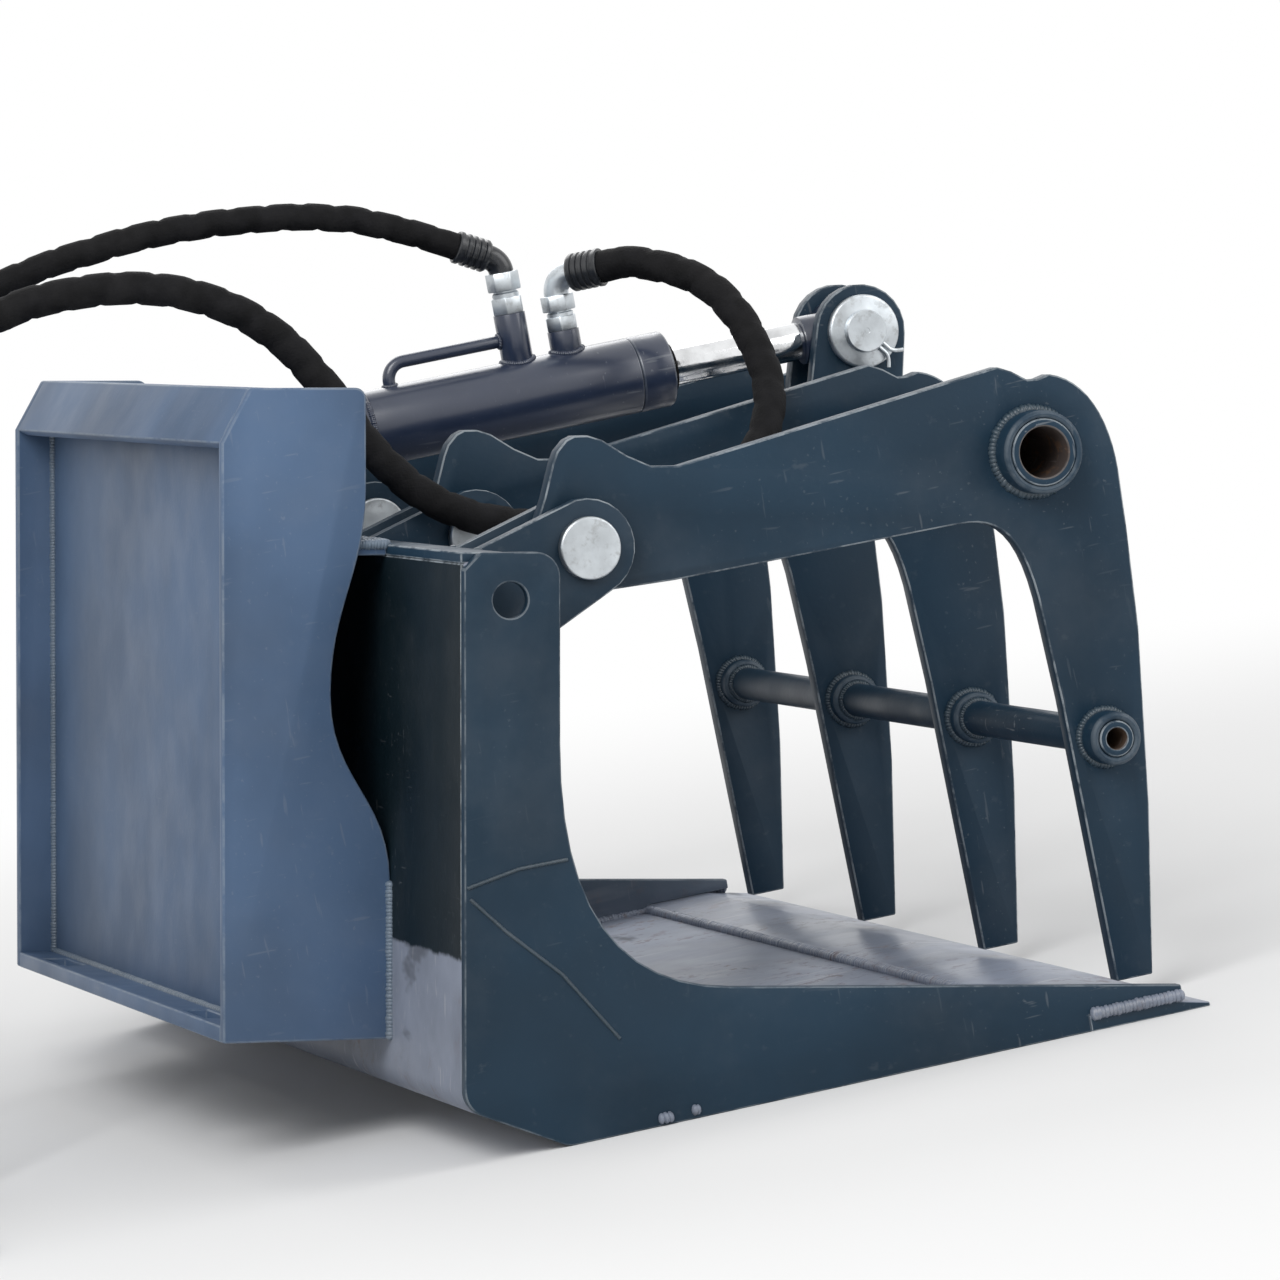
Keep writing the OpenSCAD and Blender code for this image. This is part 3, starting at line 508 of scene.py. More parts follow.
# each finish: its group, that group's values, what wear lies over it (on the shell also a strip of painted
# light), and the shader's own values
finishes = {
    "darkPaint": (paintGroup, darkCoat, None, {"specular": 0.27}),
    "lightPaint": (paintGroup, lightCoat, None, {"specular": 0.3}),
    # the shell's worn layer also lays a strip of painted light along its heel
    "shadedShellPaint": (paintGroup, shellShadeCoat, {"WornTo": 0.46, "LitHeelTo": 0.148}, {"specular": 0.2}),
    "barPaint": (paintGroup, dict(darkCoat, Rough=0.36), {}, {"specular": 0.36}),
    "sidePaint": (paintGroup, dict(darkCoat, EdgeWearAndGlint=0.32), {"WornTo": 0.075}, {"specular": 0.27}),
    "collarPaint": (paintGroup, dict(darkCoat, EdgeWearAndGlint=0.16, Dust=0.3), None, {"specular": 0.3}),
    "pipePaint": (paintGroup, dict(darkCoat, Scratches=0.5), pipeRust, {"specular": 0.27}),
    "weldPaint": (paintGroup, weldDark, None, {"specular": 0.5}),
    "weldLight": (paintGroup, weldPale, None, {"specular": 0.5}),
    "barrelPaint": (paintGroup, barrelCoat, None, {"specular": 0.6, "coat": 0.7, "coatRough": 0.22}),
    "blackSteel": (paintGroup, blackCoat, None, {"coat": 0.2, "coatRough": 0.2}),
    "hoseRubber": (rubberGroup, guard, None, {"specular": 0.16}),
    "zincSteel": (metalGroup, zinc, None, {"metallic": 1.0}),
    "chromeRod": (metalGroup, chrome, None, {"metallic": 1.0}),
}
paints = {name: makeMaterial(name, group, values, worked, **plain)
          for name, (group, values, worked, plain) in finishes.items()}
print("materials made:", len(paints))

# steel plates with their cut edges broken, and bright along them, partly as rubbed-off paint and partly as
# painted highlight
plateLook = {"edge": 0.0012, "steps": 2, "sharp": 32, "flat": 1.0}
hingePins = ["hinge_pin_" + n for n in "1234"]
edgeWidths = {
    "cutting_edge": 0.0008, "rod_pin": 0.002, "cylinder_gland": 0.002, "coupler_gusset_right": 0.0016,
    "coupler_gusset_left": 0.0016, "rod_eye": 0.002, "upper_collars": 0.0055, "lower_collars": 0.0035,
    **{pin: 0.0018 for pin in hingePins},
}
looks = {
    "lightPaint": ["coupler_face", "coupler_top_lip", "coupler_bottom_ledge", "coupler_gusset_right",
                   "coupler_gusset_left", "coupler_ribs", "coupler_shelf", "cylinder_base_lugs"],
    "shadedShellPaint": ["bucket_shell"],
    "barPaint": ["cutting_edge"],
    "sidePaint": ["side_plate_right", "side_plate_left"],
    "collarPaint": ["upper_collars", "lower_collars"],
    "pipePaint": ["upper_cross_pipe", "lower_cross_pipe"],
    "barrelPaint": ["cylinder_barrel", "cylinder_base_eye", "cylinder_gland", "port_bosses", "hard_line",
                    "rod_eye"],
    "hoseRubber": ["gland_wiper"],
    "zincSteel": ["cylinder_base_pin", "rod_pin", "piston"] + hingePins,
    "chromeRod": ["piston_rod"],
}
finishOf = {n: k for k, members in looks.items() for n in members}
remade = ("hose_1", "hose_2", "port_nuts", "elbow_1", "elbow_2", "quick_coupler_1", "quick_coupler_2")
# how far a face looks the way that its test asks for
facing = {"sideways": 0.9, "up": 0.05, "back": -0.5, "bore": -0.005}


def insideOfBucket(p):
    heart = Vector((heelX + bucket["heart"], p.center.y, bucket["heart"]))
    return p.normal.dot(heart - p.center) > 0


def insideOfSide(p):
    return abs(p.normal.y) > facing["sideways"] and p.normal.y * p.center.y < 0


def topOfEdge(p):
    return p.normal.z > facing["up"] or p.normal.x < facing["back"]


def pipeBore(centre):
    def test(p):
        return p.normal.dot(Vector((p.center.x - centre.x, 0, p.center.z - centre.z))) < facing["bore"]
    return test


def brokenEdges(node, finish, edge):
    src = nodes[node]
    obj = src.copy()
    obj.data = src.data.copy()
    obj.parent = None
    for key in list(obj.keys()):
        del obj[key]
    obj.name = node + "_steel"
    bpy.context.scene.collection.objects.link(obj)
    editAll(obj)
    bpy.ops.mesh.remove_doubles(threshold=mergeGap)
    bpy.ops.mesh.dissolve_limited(angle_limit=math.radians(plateLook["flat"]), delimit={"NORMAL"})
    bpy.ops.object.mode_set(mode="OBJECT")
    paintIt(obj, paints[finish])
    obj.data.materials.append(paints[finish])  # the bevel's own faces take the second slot
    for p in obj.data.polygons:
        p.material_index = 0
    bevelEdges(obj, edge, plateLook["steps"], plateLook["sharp"])
    markFaces(obj, "edge", lambda p: p.material_index == 1)
    for p in obj.data.polygons:
        p.material_index = 0
    return finishPiece(obj, finish, bodyOf[node], slotOf[node], (node,))


innerMarks = {
    "bucket_shell": insideOfBucket, "cutting_edge": topOfEdge,
    "side_plate_right": insideOfSide, "side_plate_left": insideOfSide,
    "upper_cross_pipe": pipeBore(upperPipe), "lower_cross_pipe": pipeBore(lowerPipe),
}
dressed = {}
for node in nodes:
    if node in remade:
        continue
    edge = edgeWidths.get(node, plateLook["edge"])
    dressed[node] = brokenEdges(node, finishOf.get(node, "darkPaint"), edge)
    if node in innerMarks:
        markFaces(dressed[node], "inner", innerMarks[node])
print("plates dressed:", len(dressed))

# weld beads: one ripple is modelled, then copied along every seam
weld = {
    "squash": 0.60, "pitch": 0.60, "jitter": 0.09, "lean": 0.12, "segments": 8, "rings": 5, "ringSteps": 32,
    "footSteps": 24, "lowBendSteps": 4, "highBendSteps": 6, "smooth": 80,
}
# each group of seams: its body, its finish and the slot it takes
weldGroups = {
    "weldsInside": ("bucket", "barPaint", slotOf["cutting_edge"]),
    "weldsBucket": ("bucket", "weldPaint", "dark_paint"),
    "weldsCoupler": ("bucket", "weldLight", "light_paint"),
    "weldsGrapple": ("grapple", "weldPaint", "dark_paint"),
    "weldsBarrel": ("barrel", "barrelPaint", "barrel_paint"),
}
seams = {}


def makeRipple():
    deselect()
    bpy.ops.mesh.primitive_uv_sphere_add(segments=weld["segments"], ring_count=weld["rings"], radius=1.0)
    ripple = bpy.context.object
    bpy.ops.object.mode_set(mode="EDIT")
    bpy.ops.transform.resize(value=(1.0, 1.0, weld["squash"]))
    bpy.ops.object.mode_set(mode="OBJECT")
    shape = [v.co.copy() for v in ripple.data.vertices], [tuple(p.vertices) for p in ripple.data.polygons]
    bpy.data.objects.remove(ripple)
    return shape


rippleVerts, rippleFaces = makeRipple()


def seam(group, points, radius, closed=False):
    # lay ripples a pitch apart along the line, each leaning and swelling a little differently
    verts, faces = seams.setdefault(group, ([], []))
    line = points + points[:1] if closed else points
    lengths = [(b - a).length for a, b in zip(line, line[1:])]
    count = max(2, int(sum(lengths) / (radius * weld["pitch"])))
    for i in range(count):
        want, k = sum(lengths) * (i + 0.5) / count, 0
        while k < len(lengths) - 1 and want > lengths[k]:
            want -= lengths[k]
            k += 1
        way = (line[k + 1] - line[k]).normalized()
        size = radius * (1 + random.uniform(-1, 1) * weld["jitter"])
        place = line[k] + way * want
        lean = Vector([random.uniform(-weld["lean"], weld["lean"]) for _ in range(3)])
        turn = (way + lean).to_track_quat("Z", "Y")
        base = len(verts)
        verts.extend(place + turn @ (v * size) for v in rippleVerts)
        faces.extend(tuple(base + n for n in f) for f in rippleFaces)


def leanedSeam(group, radius, *places):
    seam(group, [leaned(*p) for p in places], radius)


def ringSeam(group, centre, way, ringRadius, radius):
    side = way.orthogonal().normalized()
    up = way.cross(side)
    ring = [centre + (side * math.cos(a) + up * math.sin(a)) * ringRadius for a in fullTurn(weld["ringSteps"])]
    seam(group, ring, radius, True)


def shellLine(y):
    # the inner line of the floor, the heel's slant and the back
    t, r = bucket["shellThick"], bucket["heelBend"]
    up, ahead = bucket["heelUp"], bucket["heelAhead"]
    slant = math.atan2(up * math.cos(leanAngle), ahead - up * math.sin(leanAngle))
    rest = math.pi / 2 + leanAngle - slant
    low = Vector((heelX + ahead + (r + t) * math.tan(slant / 2), y, r + t))
    high = leaned(r + t, up + (r + t) * math.tan(rest / 2), y)
    lowSteps, highSteps = weld["lowBendSteps"], weld["highBendSteps"]
    turns = [(low, 1.5 * math.pi - slant * k / lowSteps) for k in range(lowSteps + 1)]
    turns += [(high, 1.5 * math.pi - slant - rest * k / highSteps) for k in range(highSteps + 1)]
    floorEnd = Vector((heelX + bucket["depth"] - bucket["edgeWidth"], y, t))
    return ([floorEnd] + [c + Vector((math.cos(a), 0, math.sin(a))) * r for c, a in turns]
            + [leaned(t, bucket["backHeight"] - bucket["railThick"], y)])


bucketBeads = {
    "shell": 0.0045, "bar": 0.005, "line": 0.0015, "lug": 0.0042,
    "barFrom": 0.002, "barShort": 0.020, "barHigh": 0.0125, "floorBack": 0.0005, "floorHigh": 0.0072,
    # thin lines on the side plates by the throat, as u and v
    "lines": (((0.004, 0.192), (0.031, 0.168), (0.072, 0.137), (0.115, 0.090)),
              ((0.002, 0.200), (0.040, 0.213), (0.076, 0.219))),
    # tacks along the side plates' foot: where each starts and ends, how high it lies and its bead
    "tacks": ((0.148, 0.158, 0.0055, 0.0042), (0.174, 0.179, 0.0065, 0.0040)),
}


def bucketWelds():
    bead = bucketBeads
    inner = bucket["width"] / 2 - bucket["sideThick"]
    t, rail, top = bucket["shellThick"], bucket["railWidth"], bucket["backHeight"]
    root = top - bucket["railThick"]
    floorEnd, barEnd = (heelX + bucket["depth"] - short for short in (bucket["edgeWidth"], bead["barShort"]))
    for side in (-1, 1):
        outer = side * bucket["width"] / 2
        seam("weldsInside", shellLine(side * inner), bead["shell"])
        barEnds = [Vector((x, outer, bead["barHigh"])) for x in (floorEnd + bead["barFrom"], barEnd)]
        seam("weldsInside", barEnds, bead["bar"])
        for line in bead["lines"]:
            leanedSeam("weldsBucket", bead["line"], *((u, v, outer) for u, v in line))
        for start, end, high, radius in bead["tacks"]:
            seam("weldsInside", [Vector((heelX + x, outer, high)) for x in (start, end)], radius)
    floorLine = [Vector((floorEnd - bead["floorBack"], y, bead["floorHigh"])) for y in (-inner, inner)]
    seam("weldsInside", floorLine, bead["bar"])
    for n in range(4):
        for side in (-1, 1):
            y = armY(n) + side * (grapple["lugMid"] + grapple["lugThick"] / 2)
            leanedSeam("weldsBucket", bead["lug"], (t, root - grapple["lugRoot"], y), (t, root, y),
                       (rail, root, y), (rail, top, y))


couplerBeads = {"wide": 0.0045, "mid": 0.004, "thin": 0.0035, "gussetTo": 0.190}


def couplerWelds():
    bead = couplerBeads
    half, plate, low, lip = coupler["width"] / 2, coupler["plate"], coupler["low"], coupler["lipCorner"]
    inner, ledgeTop = half - plate, low + coupler["ledge"]
    face, top, rail = -coupler["standoff"] + coupler["pocket"], bucket["backHeight"], bucket["railWidth"]
    for u, v, radius in ((0, top, bead["wide"]), (face, ledgeTop, bead["thin"]), (face, lip, bead["thin"]),
                         (face + plate, top, bead["thin"])):
        leanedSeam("weldsCoupler", radius, (u, v, -inner), (u, v, inner))
    for side in (-1, 1):
        wall, outer, lug = side * inner, side * half, side * cylinder["lugOut"]
        leanedSeam("weldsCoupler", bead["mid"], (face, ledgeTop, wall), (face, lip, wall))
        leanedSeam("weldsCoupler", bead["wide"], (0, low, outer), (0, bead["gussetTo"], outer))
        leanedSeam("weldsCoupler", bead["mid"], (face + plate, top, wall), (0, top, wall))
        leanedSeam("weldsCoupler", bead["mid"], (cylinder["lugFrom"], top, lug), (rail, top, lug))


# the bead on each ring of the grapple, by the name of that ring's size
grappleBeads = {
    "upperCollar": 0.0048, "lowerCollar": 0.0038, "bushRadius": 0.0028, "upperRadius": 0.0032,
    "lowerRadius": 0.0030, "rodLugOut": 0.0042, "rodLugIn": 0.0034,
}


def grappleWelds():
    bead, reach = grappleBeads, grapple["armThick"] / 2
    for n in range(4):
        for side in (-1, 1):
            face = across * (armY(n) + side * reach)
            end = across * (armY(n) + side * (reach + grapple["collarIn"]))
            rings = [(upperPipe + face, "upperCollar"), (lowerPipe + face, "lowerCollar"),
                     (hingeAt + face, "bushRadius")]
            if (n, side) not in ((0, -1), (3, 1)):
                rings += [(upperPipe + end, "upperRadius"), (lowerPipe + end, "lowerRadius")]
            for centre, ring in rings:
                ringSeam("weldsGrapple", centre, across, grapple[ring], bead[ring])
    for side in (-1, 1):
        for lug in ("rodLugOut", "rodLugIn"):
            lugFace = upperPipe + across * side * grapple[lug]
            ringSeam("weldsGrapple", lugFace, across, grapple["upperRadius"], bead[lug])


barrelBeads = {"wide": 0.0026, "fine": 0.0018, "sunk": 0.0006}


def barrelWelds():
    bead, r = barrelBeads, cylinder["barrelRadius"]
    boss, foot = cylinder["bossRadius"], cylinder["lineRadius"]
    ringSeam("weldsBarrel", onCylinder(cylinder["tubeFrom"], 0, 0), axis, r - bead["sunk"], bead["wide"])
    for along, reach, radius in ((fittings["one"]["along"], boss, bead["wide"]),
                                 (fittings["two"]["along"], boss, bead["wide"]),
                                 (cylinder["lineFrom"], foot, bead["fine"])):
        ring = []
        for a in fullTurn(weld["footSteps"]):
            y = reach * math.sin(a)
            ring.append(onCylinder(along + reach * math.cos(a), y, math.sqrt(r * r - y * y)))
        seam("weldsBarrel", ring, radius, True)
    lineEnd = onCylinder(fittings["one"]["along"] - boss, 0, cylinder["lineHigh"])
    ringSeam("weldsBarrel", lineEnd, axis, foot, bead["fine"])


def layWelds():
    for name, (verts, faces) in seams.items():
        body, finish, slotName = weldGroups[name]
        obj = newMesh(name, verts, faces)
        if finish == "barPaint":
            markFaces(obj, "inner", lambda p: True)
        finishPiece(obj, finish, body, slotName, angle=weld["smooth"])
        print(name, len(faces), "faces")


bucketWelds()
couplerWelds()
grappleWelds()
barrelWelds()
layWelds()


def fittingWay(f):
    sw, yw = math.radians(f["sweep"]), math.radians(f["yaw"])
    return axis * (math.sin(sw) * math.cos(yw)) + across * (math.sin(sw) * math.sin(yw)) + rise * math.cos(sw)


def fittingPoint(f, sweep):
    sw, yw = math.radians(sweep), math.radians(f["yaw"])
    out, up = f["bend"] * (1 - math.cos(sw)), f["bend"] * math.sin(sw)
    return onCylinder(f["along"] + out * math.cos(yw), out * math.sin(yw), f["nutTop"] + up)


sweepStart = Vector((0, 0.3, 1))  # the side that a swept tube's first ring starts from


def sweepTube(name, line, radiusAt, sides):
    verts, faces = [], []
    side = sweepStart
    for i, p in enumerate(line):
        way = (line[min(i + 1, len(line) - 1)] - line[max(i - 1, 0)]).normalized()
        side = (side - way * side.dot(way)).normalized()
        cross = way.cross(side)
        for a in fullTurn(sides):
            verts.append(p + (side * math.cos(a) + cross * math.sin(a)) * radiusAt(i, a))
    for i in range(len(line) - 1):
        for k in range(sides):
            n, b = (k + 1) % sides, i * sides
            faces.append((b + k, b + n, b + sides + n, b + sides + k))
    faces.append(tuple(range(sides - 1, -1, -1)))
    faces.append(tuple((len(line) - 1) * sides + k for k in range(sides)))
    return newMesh(name, verts, faces)


# the adapters' hexagons and necks, with their heights as shares of the adapter's own
fitLook = {
    "hexRadius": 0.0134, "hexEdge": 0.0011, "hexEdgeSteps": 2, "hexSharp": 40, "hexTurn": 0.2, "nutTurn": 0.7,
    "hexShare": 0.40, "neckShare": 0.39, "nutShare": 0.55, "nutTallShare": 0.45,
    "neckShares": (0.10, 0.13, 0.2), "neckRadius": 0.0105, "waistRadius": 0.0092,
    "tubeRadius": 0.0098, "tubeSides": 24, "bendSteps": 12, "tuck": 0.002, "sleeveWall": 0.002,
}
crimp = {
    # rows by radius and height, and then by how far they lie inside the sleeve's own radius
    "mouth": [(0, 0), (0.0088, 0), (0.0094, 0.0006)], "foot": [(0.0016, 0.0012), (0.0002, 0.0030)],
    "bands": 4, "bandsFrom": 0.0034,
    "plain": 0.008, "deep": 0.0013, "flatShare": 0.45, "rampShare": 0.60, "grooveShare": 0.85,
    "rollFrom": 0.0035, "roll": 0.0008,
}


def hexNut(name, at, height, turn):
    deselect()
    bpy.ops.mesh.primitive_cylinder_add(vertices=6, radius=fitLook["hexRadius"], depth=height,
                                        location=(0, 0, height / 2))
    obj = bpy.context.object
    obj.name = name
    settle(obj)
    bevelEdges(obj, fitLook["hexEdge"], fitLook["hexEdgeSteps"], fitLook["hexSharp"])
    stand(obj, at, rise, turn)
    return obj


def neckProfile(tall):
    low, mid, high = (share * tall for share in fitLook["neckShares"])
    wide, waist = fitLook["neckRadius"], fitLook["waistRadius"]
    return [(0, 0), (wide, 0), (wide, low), (waist, mid), (waist, high), (0, high)]


def crimpProfile(radius, length):
    # a pressed sleeve: a plain collar, then crimped bands and a rolled end
    rows = crimp["mouth"] + [(radius - inset, high) for inset, high in crimp["foot"]]
    groove, roll = radius - crimp["deep"], crimp["roll"]
    step = (length - crimp["plain"]) / crimp["bands"]
    for k in range(crimp["bands"]):
        h = crimp["bandsFrom"] + k * step
        rows += [(radius, h), (radius, h + step * crimp["flatShare"])]
        rows += [(groove, h + step * crimp[share]) for share in ("rampShare", "grooveShare")]
    rows += [(radius, length - crimp["rollFrom"]), (radius, length - roll)]
    return rows + [(radius - roll, length), (0, length)]


def makeFitting(tag, f, elbowFinish, elbowNode):
    # a hex adapter with a turned neck, a swivel nut, the bent tube and the hose's crimped sleeve
    look, low, tall = fitLook, f["bossTop"], f["nutTop"] - f["bossTop"]

    def at(share):
        return onCylinder(f["along"], 0, low + tall * share)

    parts = [hexNut("adapterHex" + tag, at(0), tall * look["hexShare"], look["hexTurn"]),
             turned("adapterNeck" + tag, neckProfile(tall), at(look["neckShare"]), rise),
             hexNut("swivelNut" + tag, at(look["nutShare"]), tall * look["nutTallShare"], look["nutTurn"])]
    finishPiece(joined(parts, "portAdapter" + tag), "zincSteel", "barrel", "zinc", ("port_nuts",))
    steps, tuck, way = look["bendSteps"], look["tuck"], fittingWay(f)
    bend = [fittingPoint(f, f["sweep"] * k / steps) for k in range(steps + 1)]
    line = [bend[0] - rise * tuck] + bend + [bend[-1] + way * tuck]
    tube = sweepTube("elbowTube" + tag, line, lambda i, a: look["tubeRadius"], look["tubeSides"])
    finishPiece(tube, elbowFinish, "barrel", slotOf[elbowNode], (elbowNode,))
    profile = crimpProfile(f["hose"] / 2 + look["sleeveWall"], f["sleeve"])
    sleeve = turned("crimpSleeve" + tag, profile, bend[-1], way)
    finishPiece(sleeve, "blackSteel", "barrel", "black_steel", (elbowNode,))


makeFitting("One", fittings["one"], "blackSteel", "elbow_1")
makeFitting("Two", fittings["two"], "zincSteel", "elbow_2")
print("fittings made")

# the ends of the rod pin, each with a cap and a split pin whose legs are splayed
rodPin = {
    "capRadius": 0.017, "capThick": 0.0052, "capEdge": 0.0012, "capSteps": 48, "outer": 0.0410,
    "dimples": ((0.0026, 0), (0.0010, 0.0014), (0, 0.0016)),
    "wire": 0.0016, "wireSides": 10, "aimAlong": 0.62, "aimDown": 0.78, "legGap": 0.0022, "legFrom": 0.0155,
    "legStep": 0.0022, "legRings": 9, "splayFrom": 4, "splayPower": 1.6, "splay": 0.35,
}


def pinCapProfile():
    r, t, edge = rodPin["capRadius"], rodPin["capThick"], rodPin["capEdge"]
    return [(0, 0), (r, 0), (r, t - edge), (r - edge, t)] + [(x, t - deep) for x, deep in rodPin["dimples"]]


def makeRodPinEnds():
    spec = rodPin
    at = onCylinder(cylinder["pinToPin"], 0, 0)
    out = (axis * spec["aimAlong"] - rise * spec["aimDown"]).normalized()
    for side, tag in ((-1, "Right"), (1, "Left")):
        way = across * side
        cap = turned("rodPinCap" + tag, pinCapProfile(), at + way * spec["outer"], way, spec["capSteps"])
        finishPiece(cap, "zincSteel", "rod", "zinc")
        root = at + way * (spec["outer"] + spec["capThick"] / 2)
        legs = []
        for k in (-1, 1):
            spread = out.cross(across).normalized() * spec["legGap"] * k
            line = [root + spread + out * (spec["legFrom"] + spec["legStep"] * j)
                    + spread * (max(0, j - spec["splayFrom"]) ** spec["splayPower"]) * spec["splay"]
                    for j in range(spec["legRings"])]
            legs.append(sweepTube("splitLeg", line, lambda i, a: spec["wire"], spec["wireSides"]))
        finishPiece(joined(legs, "splitPin" + tag), "zincSteel", "rod", "zinc")


makeRodPinEnds()
print("rod pin finished")

# the two hoses and their wrapped guards; the routes are in millimetres
hoseLook = {
    "ringStep": 0.0042, "sides": 20, "wrapPitch": 0.028, "wrapDepth": 0.0016, "foldShare": 0.16,
    "foldPower": 0.7, "lump": 0.0006, "lumpRings": 5, "lumpTurn": 0.21, "fadeRings": 6, "inset": 0.0003,
    "gap": 0.0002, "curveSteps": 40, "smooth": 60,
}
hoseOne = {
    "diameter": 0.022, "lead": 0.018,
    "route": [[-66, 0, 658], [-110, 0, 668], [-152, 0, 673], [-196, 0, 675], [-240, 0, 674], [-282, 0, 670],
              [-323, 0, 664], [-368, 4, 652], [-412, 10, 632], [-450, 18, 600], [-480, 28, 556],
              [-501, 38, 500], [-514, 47, 435], [-522, 54, 365], [-528, 60, 295], [-534, 67, 225],
              [-541, 79, 155], [-551, 99, 94], [-566, 130, 50], [-584, 172, 26], [-598, 224, 19],
              [-602, 275, 19], [-602, 300, 19]],
}
hoseTwo = {
    "diameter": 0.026, "lead": 0.018,
    "route": [[151, -57, 584], [169, -78, 574], [186, -109, 551], [193, -143, 515], [187, -177, 474],
              [165, -199, 442], [131, -210, 419], [87, -212, 407], [39, -209, 410], [-12, -207, 412],
              [-62, -201, 426], [-104, -193, 453], [-134, -184, 493], [-156, -174, 540], [-182, -164, 583],
              [-220, -156, 617], [-268, -150, 638], [-320, -145, 646], [-372, -141, 643], [-418, -138, 628],
              [-456, -135, 598], [-486, -134, 553], [-506, -134, 490], [-519, -136, 415], [-528, -139, 330],
              [-535, -143, 245], [-542, -153, 168], [-553, -173, 100], [-570, -207, 50], [-588, -258, 25],
              [-600, -318, 19], [-604, -362, 19], [-604, -390, 19]],
}


def between(p, q, a, b, t):
    return p * ((b - t) / (b - a)) + q * ((t - a) / (b - a))


def curveThrough(points, step):
    # centripetal spline through the points, then evenly spaced
    pts = [points[0] * 2 - points[1]] + points + [points[-1] * 2 - points[-2]]
    fine, steps = [], hoseLook["curveSteps"]
    for i in range(1, len(pts) - 2):
        p0, p1, p2, p3 = pts[i - 1:i + 3]
        t0, t1 = 0.0, (p1 - p0).length ** 0.5
        t2 = t1 + (p2 - p1).length ** 0.5
        t3 = t2 + (p3 - p2).length ** 0.5
        for k in range(steps):
            t = t1 + (t2 - t1) * k / steps
            mid = between(p1, p2, t1, t2, t)
            early = between(between(p0, p1, t0, t1, t), mid, t0, t2, t)
            late = between(mid, between(p2, p3, t2, t3, t), t1, t3, t)
            fine.append(between(early, late, t1, t2, t))
    fine.append(points[-1])
    lengths = [(b - a).length for a, b in zip(fine, fine[1:])]
    total = sum(lengths)
    count = int(total / step)
    out, k, run = [], 0, 0.0
    for i in range(count + 1):
        want = total * i / count
        while k < len(lengths) - 1 and run + lengths[k] < want:
            run += lengths[k]
            k += 1
        share = (want - run) / lengths[k] if lengths[k] else 0.0
        out.append(fine[k].lerp(fine[k + 1], min(1.0, share)))
    return out, total


# a push-pull coupling half; the rows before its nose are given as how far they lie inside, and the height
quickCoupler = {
    "ring": 0.0188, "wall": 0.002, "steps": 40, "rest": 0.019,
    "collar": [(0.001, 0), (0, 0.001), (0, 0.006), (0.0012, 0.0075), (0.0012, 0.010), (0, 0.0115),
               (0, 0.0205)],
    "slide": [(0.002, 0.022), (0, 0.024)],
    "groove": [(0, 0.0455), (0.0035, 0.048), (0.0035, 0.054), (0, 0.0565), (0, 0.0645), (0.0015, 0.066)],
    "knurls": 7, "knurlFrom": 0.0255, "knurlStep": 0.0026, "knurlDeep": 0.0007, "knurlHalf": 0.0009,
    "nose": [(0.0138, 0.0664), (0.0138, 0.082), (0.0122, 0.0858), (0.0085, 0.0860), (0.0080, 0.0800),
             (0.0030, 0.0790), (0, 0.0790)],
}


def quickCouplerProfile(wall):
    spec = quickCoupler
    ring, half = spec["ring"], spec["knurlHalf"]
    rows = [(0, 0)] + [(wall - inset, high) for inset, high in spec["collar"]]
    rows += [(ring - inset, high) for inset, high in spec["slide"]]
    for k in range(spec["knurls"]):
        h = spec["knurlFrom"] + k * spec["knurlStep"]
        rows += [(ring, h), (ring - spec["knurlDeep"], h + half), (ring, h + 2 * half)]
    return rows + [(ring - inset, high) for inset, high in spec["groove"]] + spec["nose"]


def makeQuickCoupler(tag, node, hose, side):
    p, spec = Vector(hose["route"][-1]) / 1000, quickCoupler
    obj = turned("quickCoupler" + tag, quickCouplerProfile(hose["diameter"] / 2 + spec["wall"]),
                 Vector((p.x, p.y, spec["rest"])), Vector((0, side, 0)), spec["steps"])
    return finishPiece(obj, "zincSteel", "bucket", slotOf[node], (node,))


def makeHose(name, node, spec, fitting, far):
    look, way = hoseLook, fittingWay(fitting)
    start = fittingPoint(fitting, fitting["sweep"]) + way * (fitting["sleeve"] + look["gap"])
    points = [start, start + way * spec["lead"]] + [Vector(p) / 1000 for p in spec["route"]]
    line, total = curveThrough(points, look["ringStep"])
    turn, every, ends = look["ringStep"] / look["wrapPitch"], look["lumpRings"], look["fadeRings"]
    swell = [random.uniform(-1, 1) for _ in range(len(line) // every + 3)]

    def radiusAt(i, a):
        phase = (i * turn + a / (2 * math.pi)) % 1.0
        fold = max(0.0, 1 - abs(phase - 0.5) / look["foldShare"])  # between two turns of the guard
        fade = min(1.0, i / ends, (len(line) - 1 - i) / ends)
        k, f = divmod(i / every, 1)
        high = swell[int(k)] * (1 - f) + swell[int(k) + 1] * f
        lump = high * look["lump"] * math.sin(a + i * look["lumpTurn"])
        dent = (look["wrapDepth"] * (fold ** look["foldPower"]) - lump) * fade
        return spec["diameter"] / 2 - dent - look["inset"]

    obj = sweepTube(name, line, radiusAt, look["sides"])
    smooth(obj, look["smooth"])
    paintIt(obj, paints["hoseRubber"])
    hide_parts(node)
    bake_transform(obj)
    print(name, "length", round(total, 3))


makeHose("rearHose", "hose_1", hoseOne, fittings["one"],
         makeQuickCoupler("Rear", "quick_coupler_1", hoseOne, 1))
makeHose("frontHose", "hose_2", hoseTwo, fittings["two"],
         makeQuickCoupler("Front", "quick_coupler_2", hoseTwo, -1))
print("hoses made")

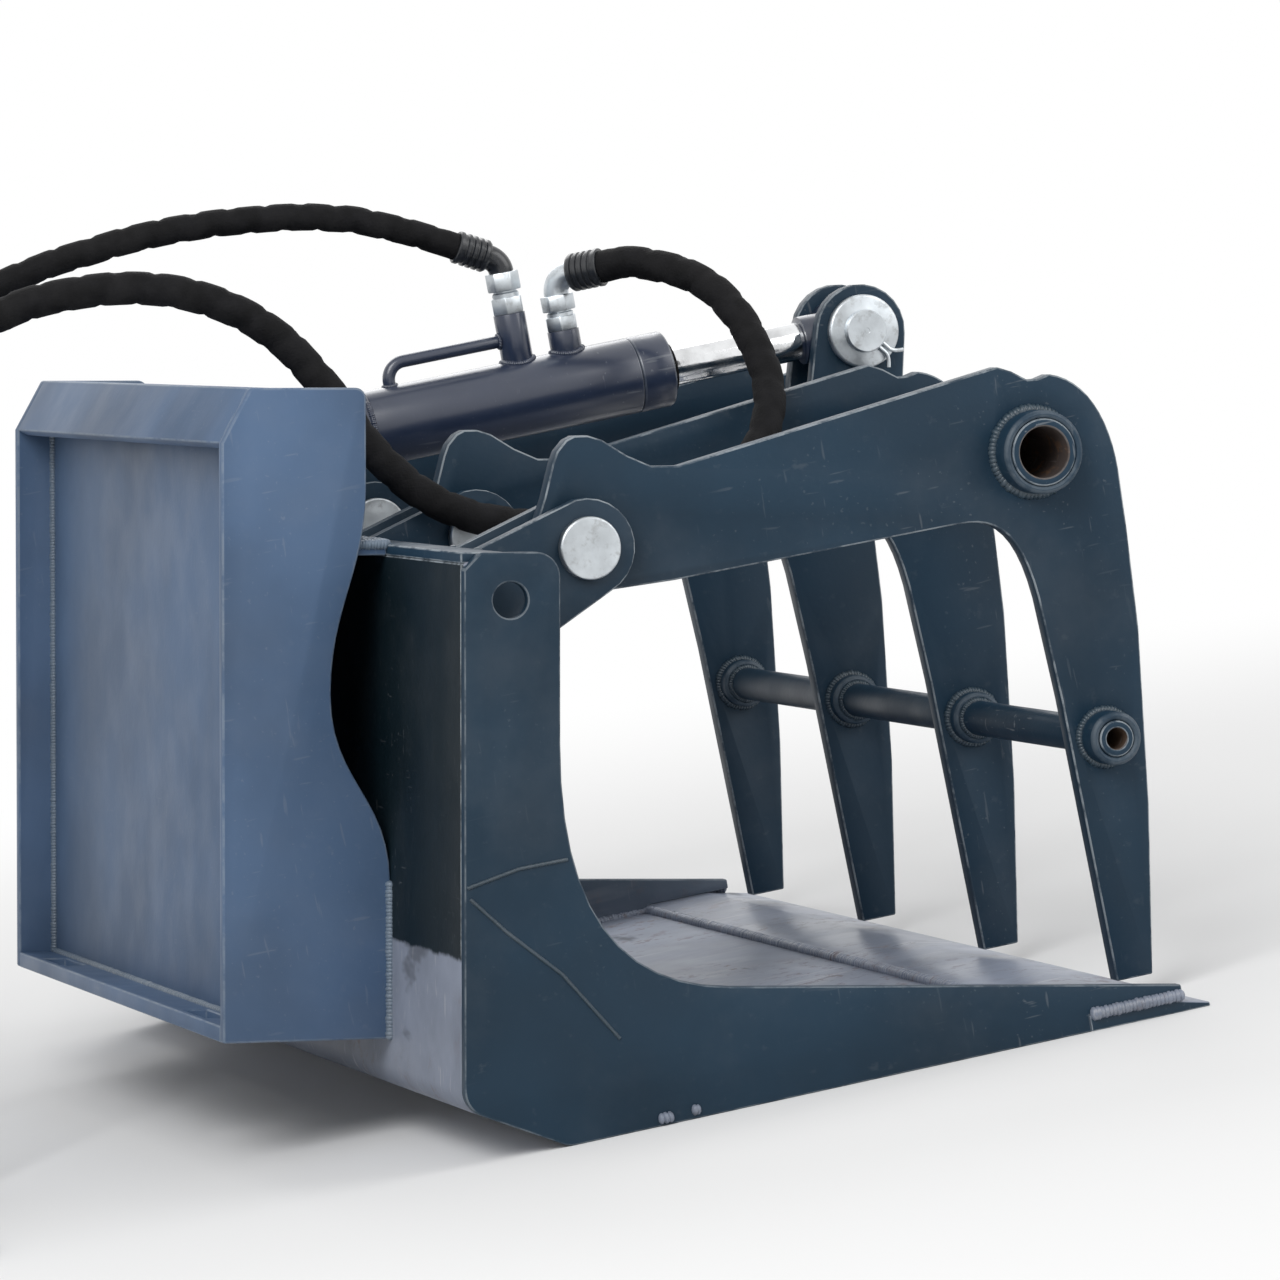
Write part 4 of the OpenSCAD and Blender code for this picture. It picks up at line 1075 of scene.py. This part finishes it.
# floor, backdrop and light
studio = {"sky": 0.58, "floor": 0.82, "fade": (1.2, 2.4), "size": 60, "lampsAim": (0, 0, 0.3)}
lamps = {
    "keyLight": {"at": (-1.6, -2.4, 2.6), "size": 1.8, "power": 62},
    "fillLight": {"at": (2.6, -1.6, 1.8), "size": 2.0, "power": 28},
    "backLight": {"at": (0.4, 2.6, 2.4), "size": 2.2, "power": 32},
}


def seenDirectly(tree):
    # the background shows white to the camera and in mirrors, and the light stays plain
    path = shaderNode(tree, "LightPath", {})
    return sums(tree, "MAXIMUM", path.outputs["Is Camera Ray"], path.outputs["Is Glossy Ray"])


def addSky():
    world = bpy.data.worlds.new("studioWorld")
    world.use_nodes = True
    bpy.context.scene.world = world
    tree = world.node_tree
    bg = tree.nodes["Background"]
    bg.inputs["Color"].default_value = (1, 1, 1, 1)
    plug(tree, band(tree, seenDirectly(tree), 0, 1, studio["sky"], 1.0), bg.inputs["Strength"])


def addFloor():
    # a pale floor that keeps the shadow and fades into white
    deselect()
    bpy.ops.mesh.primitive_plane_add(size=studio["size"], location=(0, 0, 0))
    floor = bpy.context.object
    floor.name = "studioFloor"
    mat = bpy.data.materials.new("studioFloor")
    mat.use_nodes = True
    tree = mat.node_tree
    tree.nodes.remove(tree.nodes["Principled BSDF"])
    diffuse = shaderNode(tree, "BsdfDiffuse", {"Color": (studio["floor"],) * 3 + (1,)})
    far = shaderNode(tree, "VectorMath", {0: objectPlace(tree)}, operation="LENGTH")
    away = band(tree, far.outputs["Value"], *studio["fade"])
    white = times(tree, away, seenDirectly(tree))
    glow = shaderNode(tree, "Emission", {})
    mix = shaderNode(tree, "MixShader", {0: white, 1: diffuse.outputs[0], 2: glow.outputs[0]})
    plug(tree, mix.outputs[0], tree.nodes["Material Output"].inputs["Surface"])
    floor.data.materials.append(mat)


def addLamps():
    for name, spec in lamps.items():
        bpy.ops.object.light_add(type="AREA", location=spec["at"])
        lamp = bpy.context.object
        lamp.name = name
        lamp.data.size = spec["size"]
        lamp.data.energy = spec["power"]
        way = Vector(studio["lampsAim"]) - Vector(spec["at"])
        lamp.rotation_euler = way.to_track_quat("-Z", "Y").to_euler()


addSky()
addFloor()
addLamps()
bpy.context.scene.view_settings.view_transform = "Standard"
print("studio set")
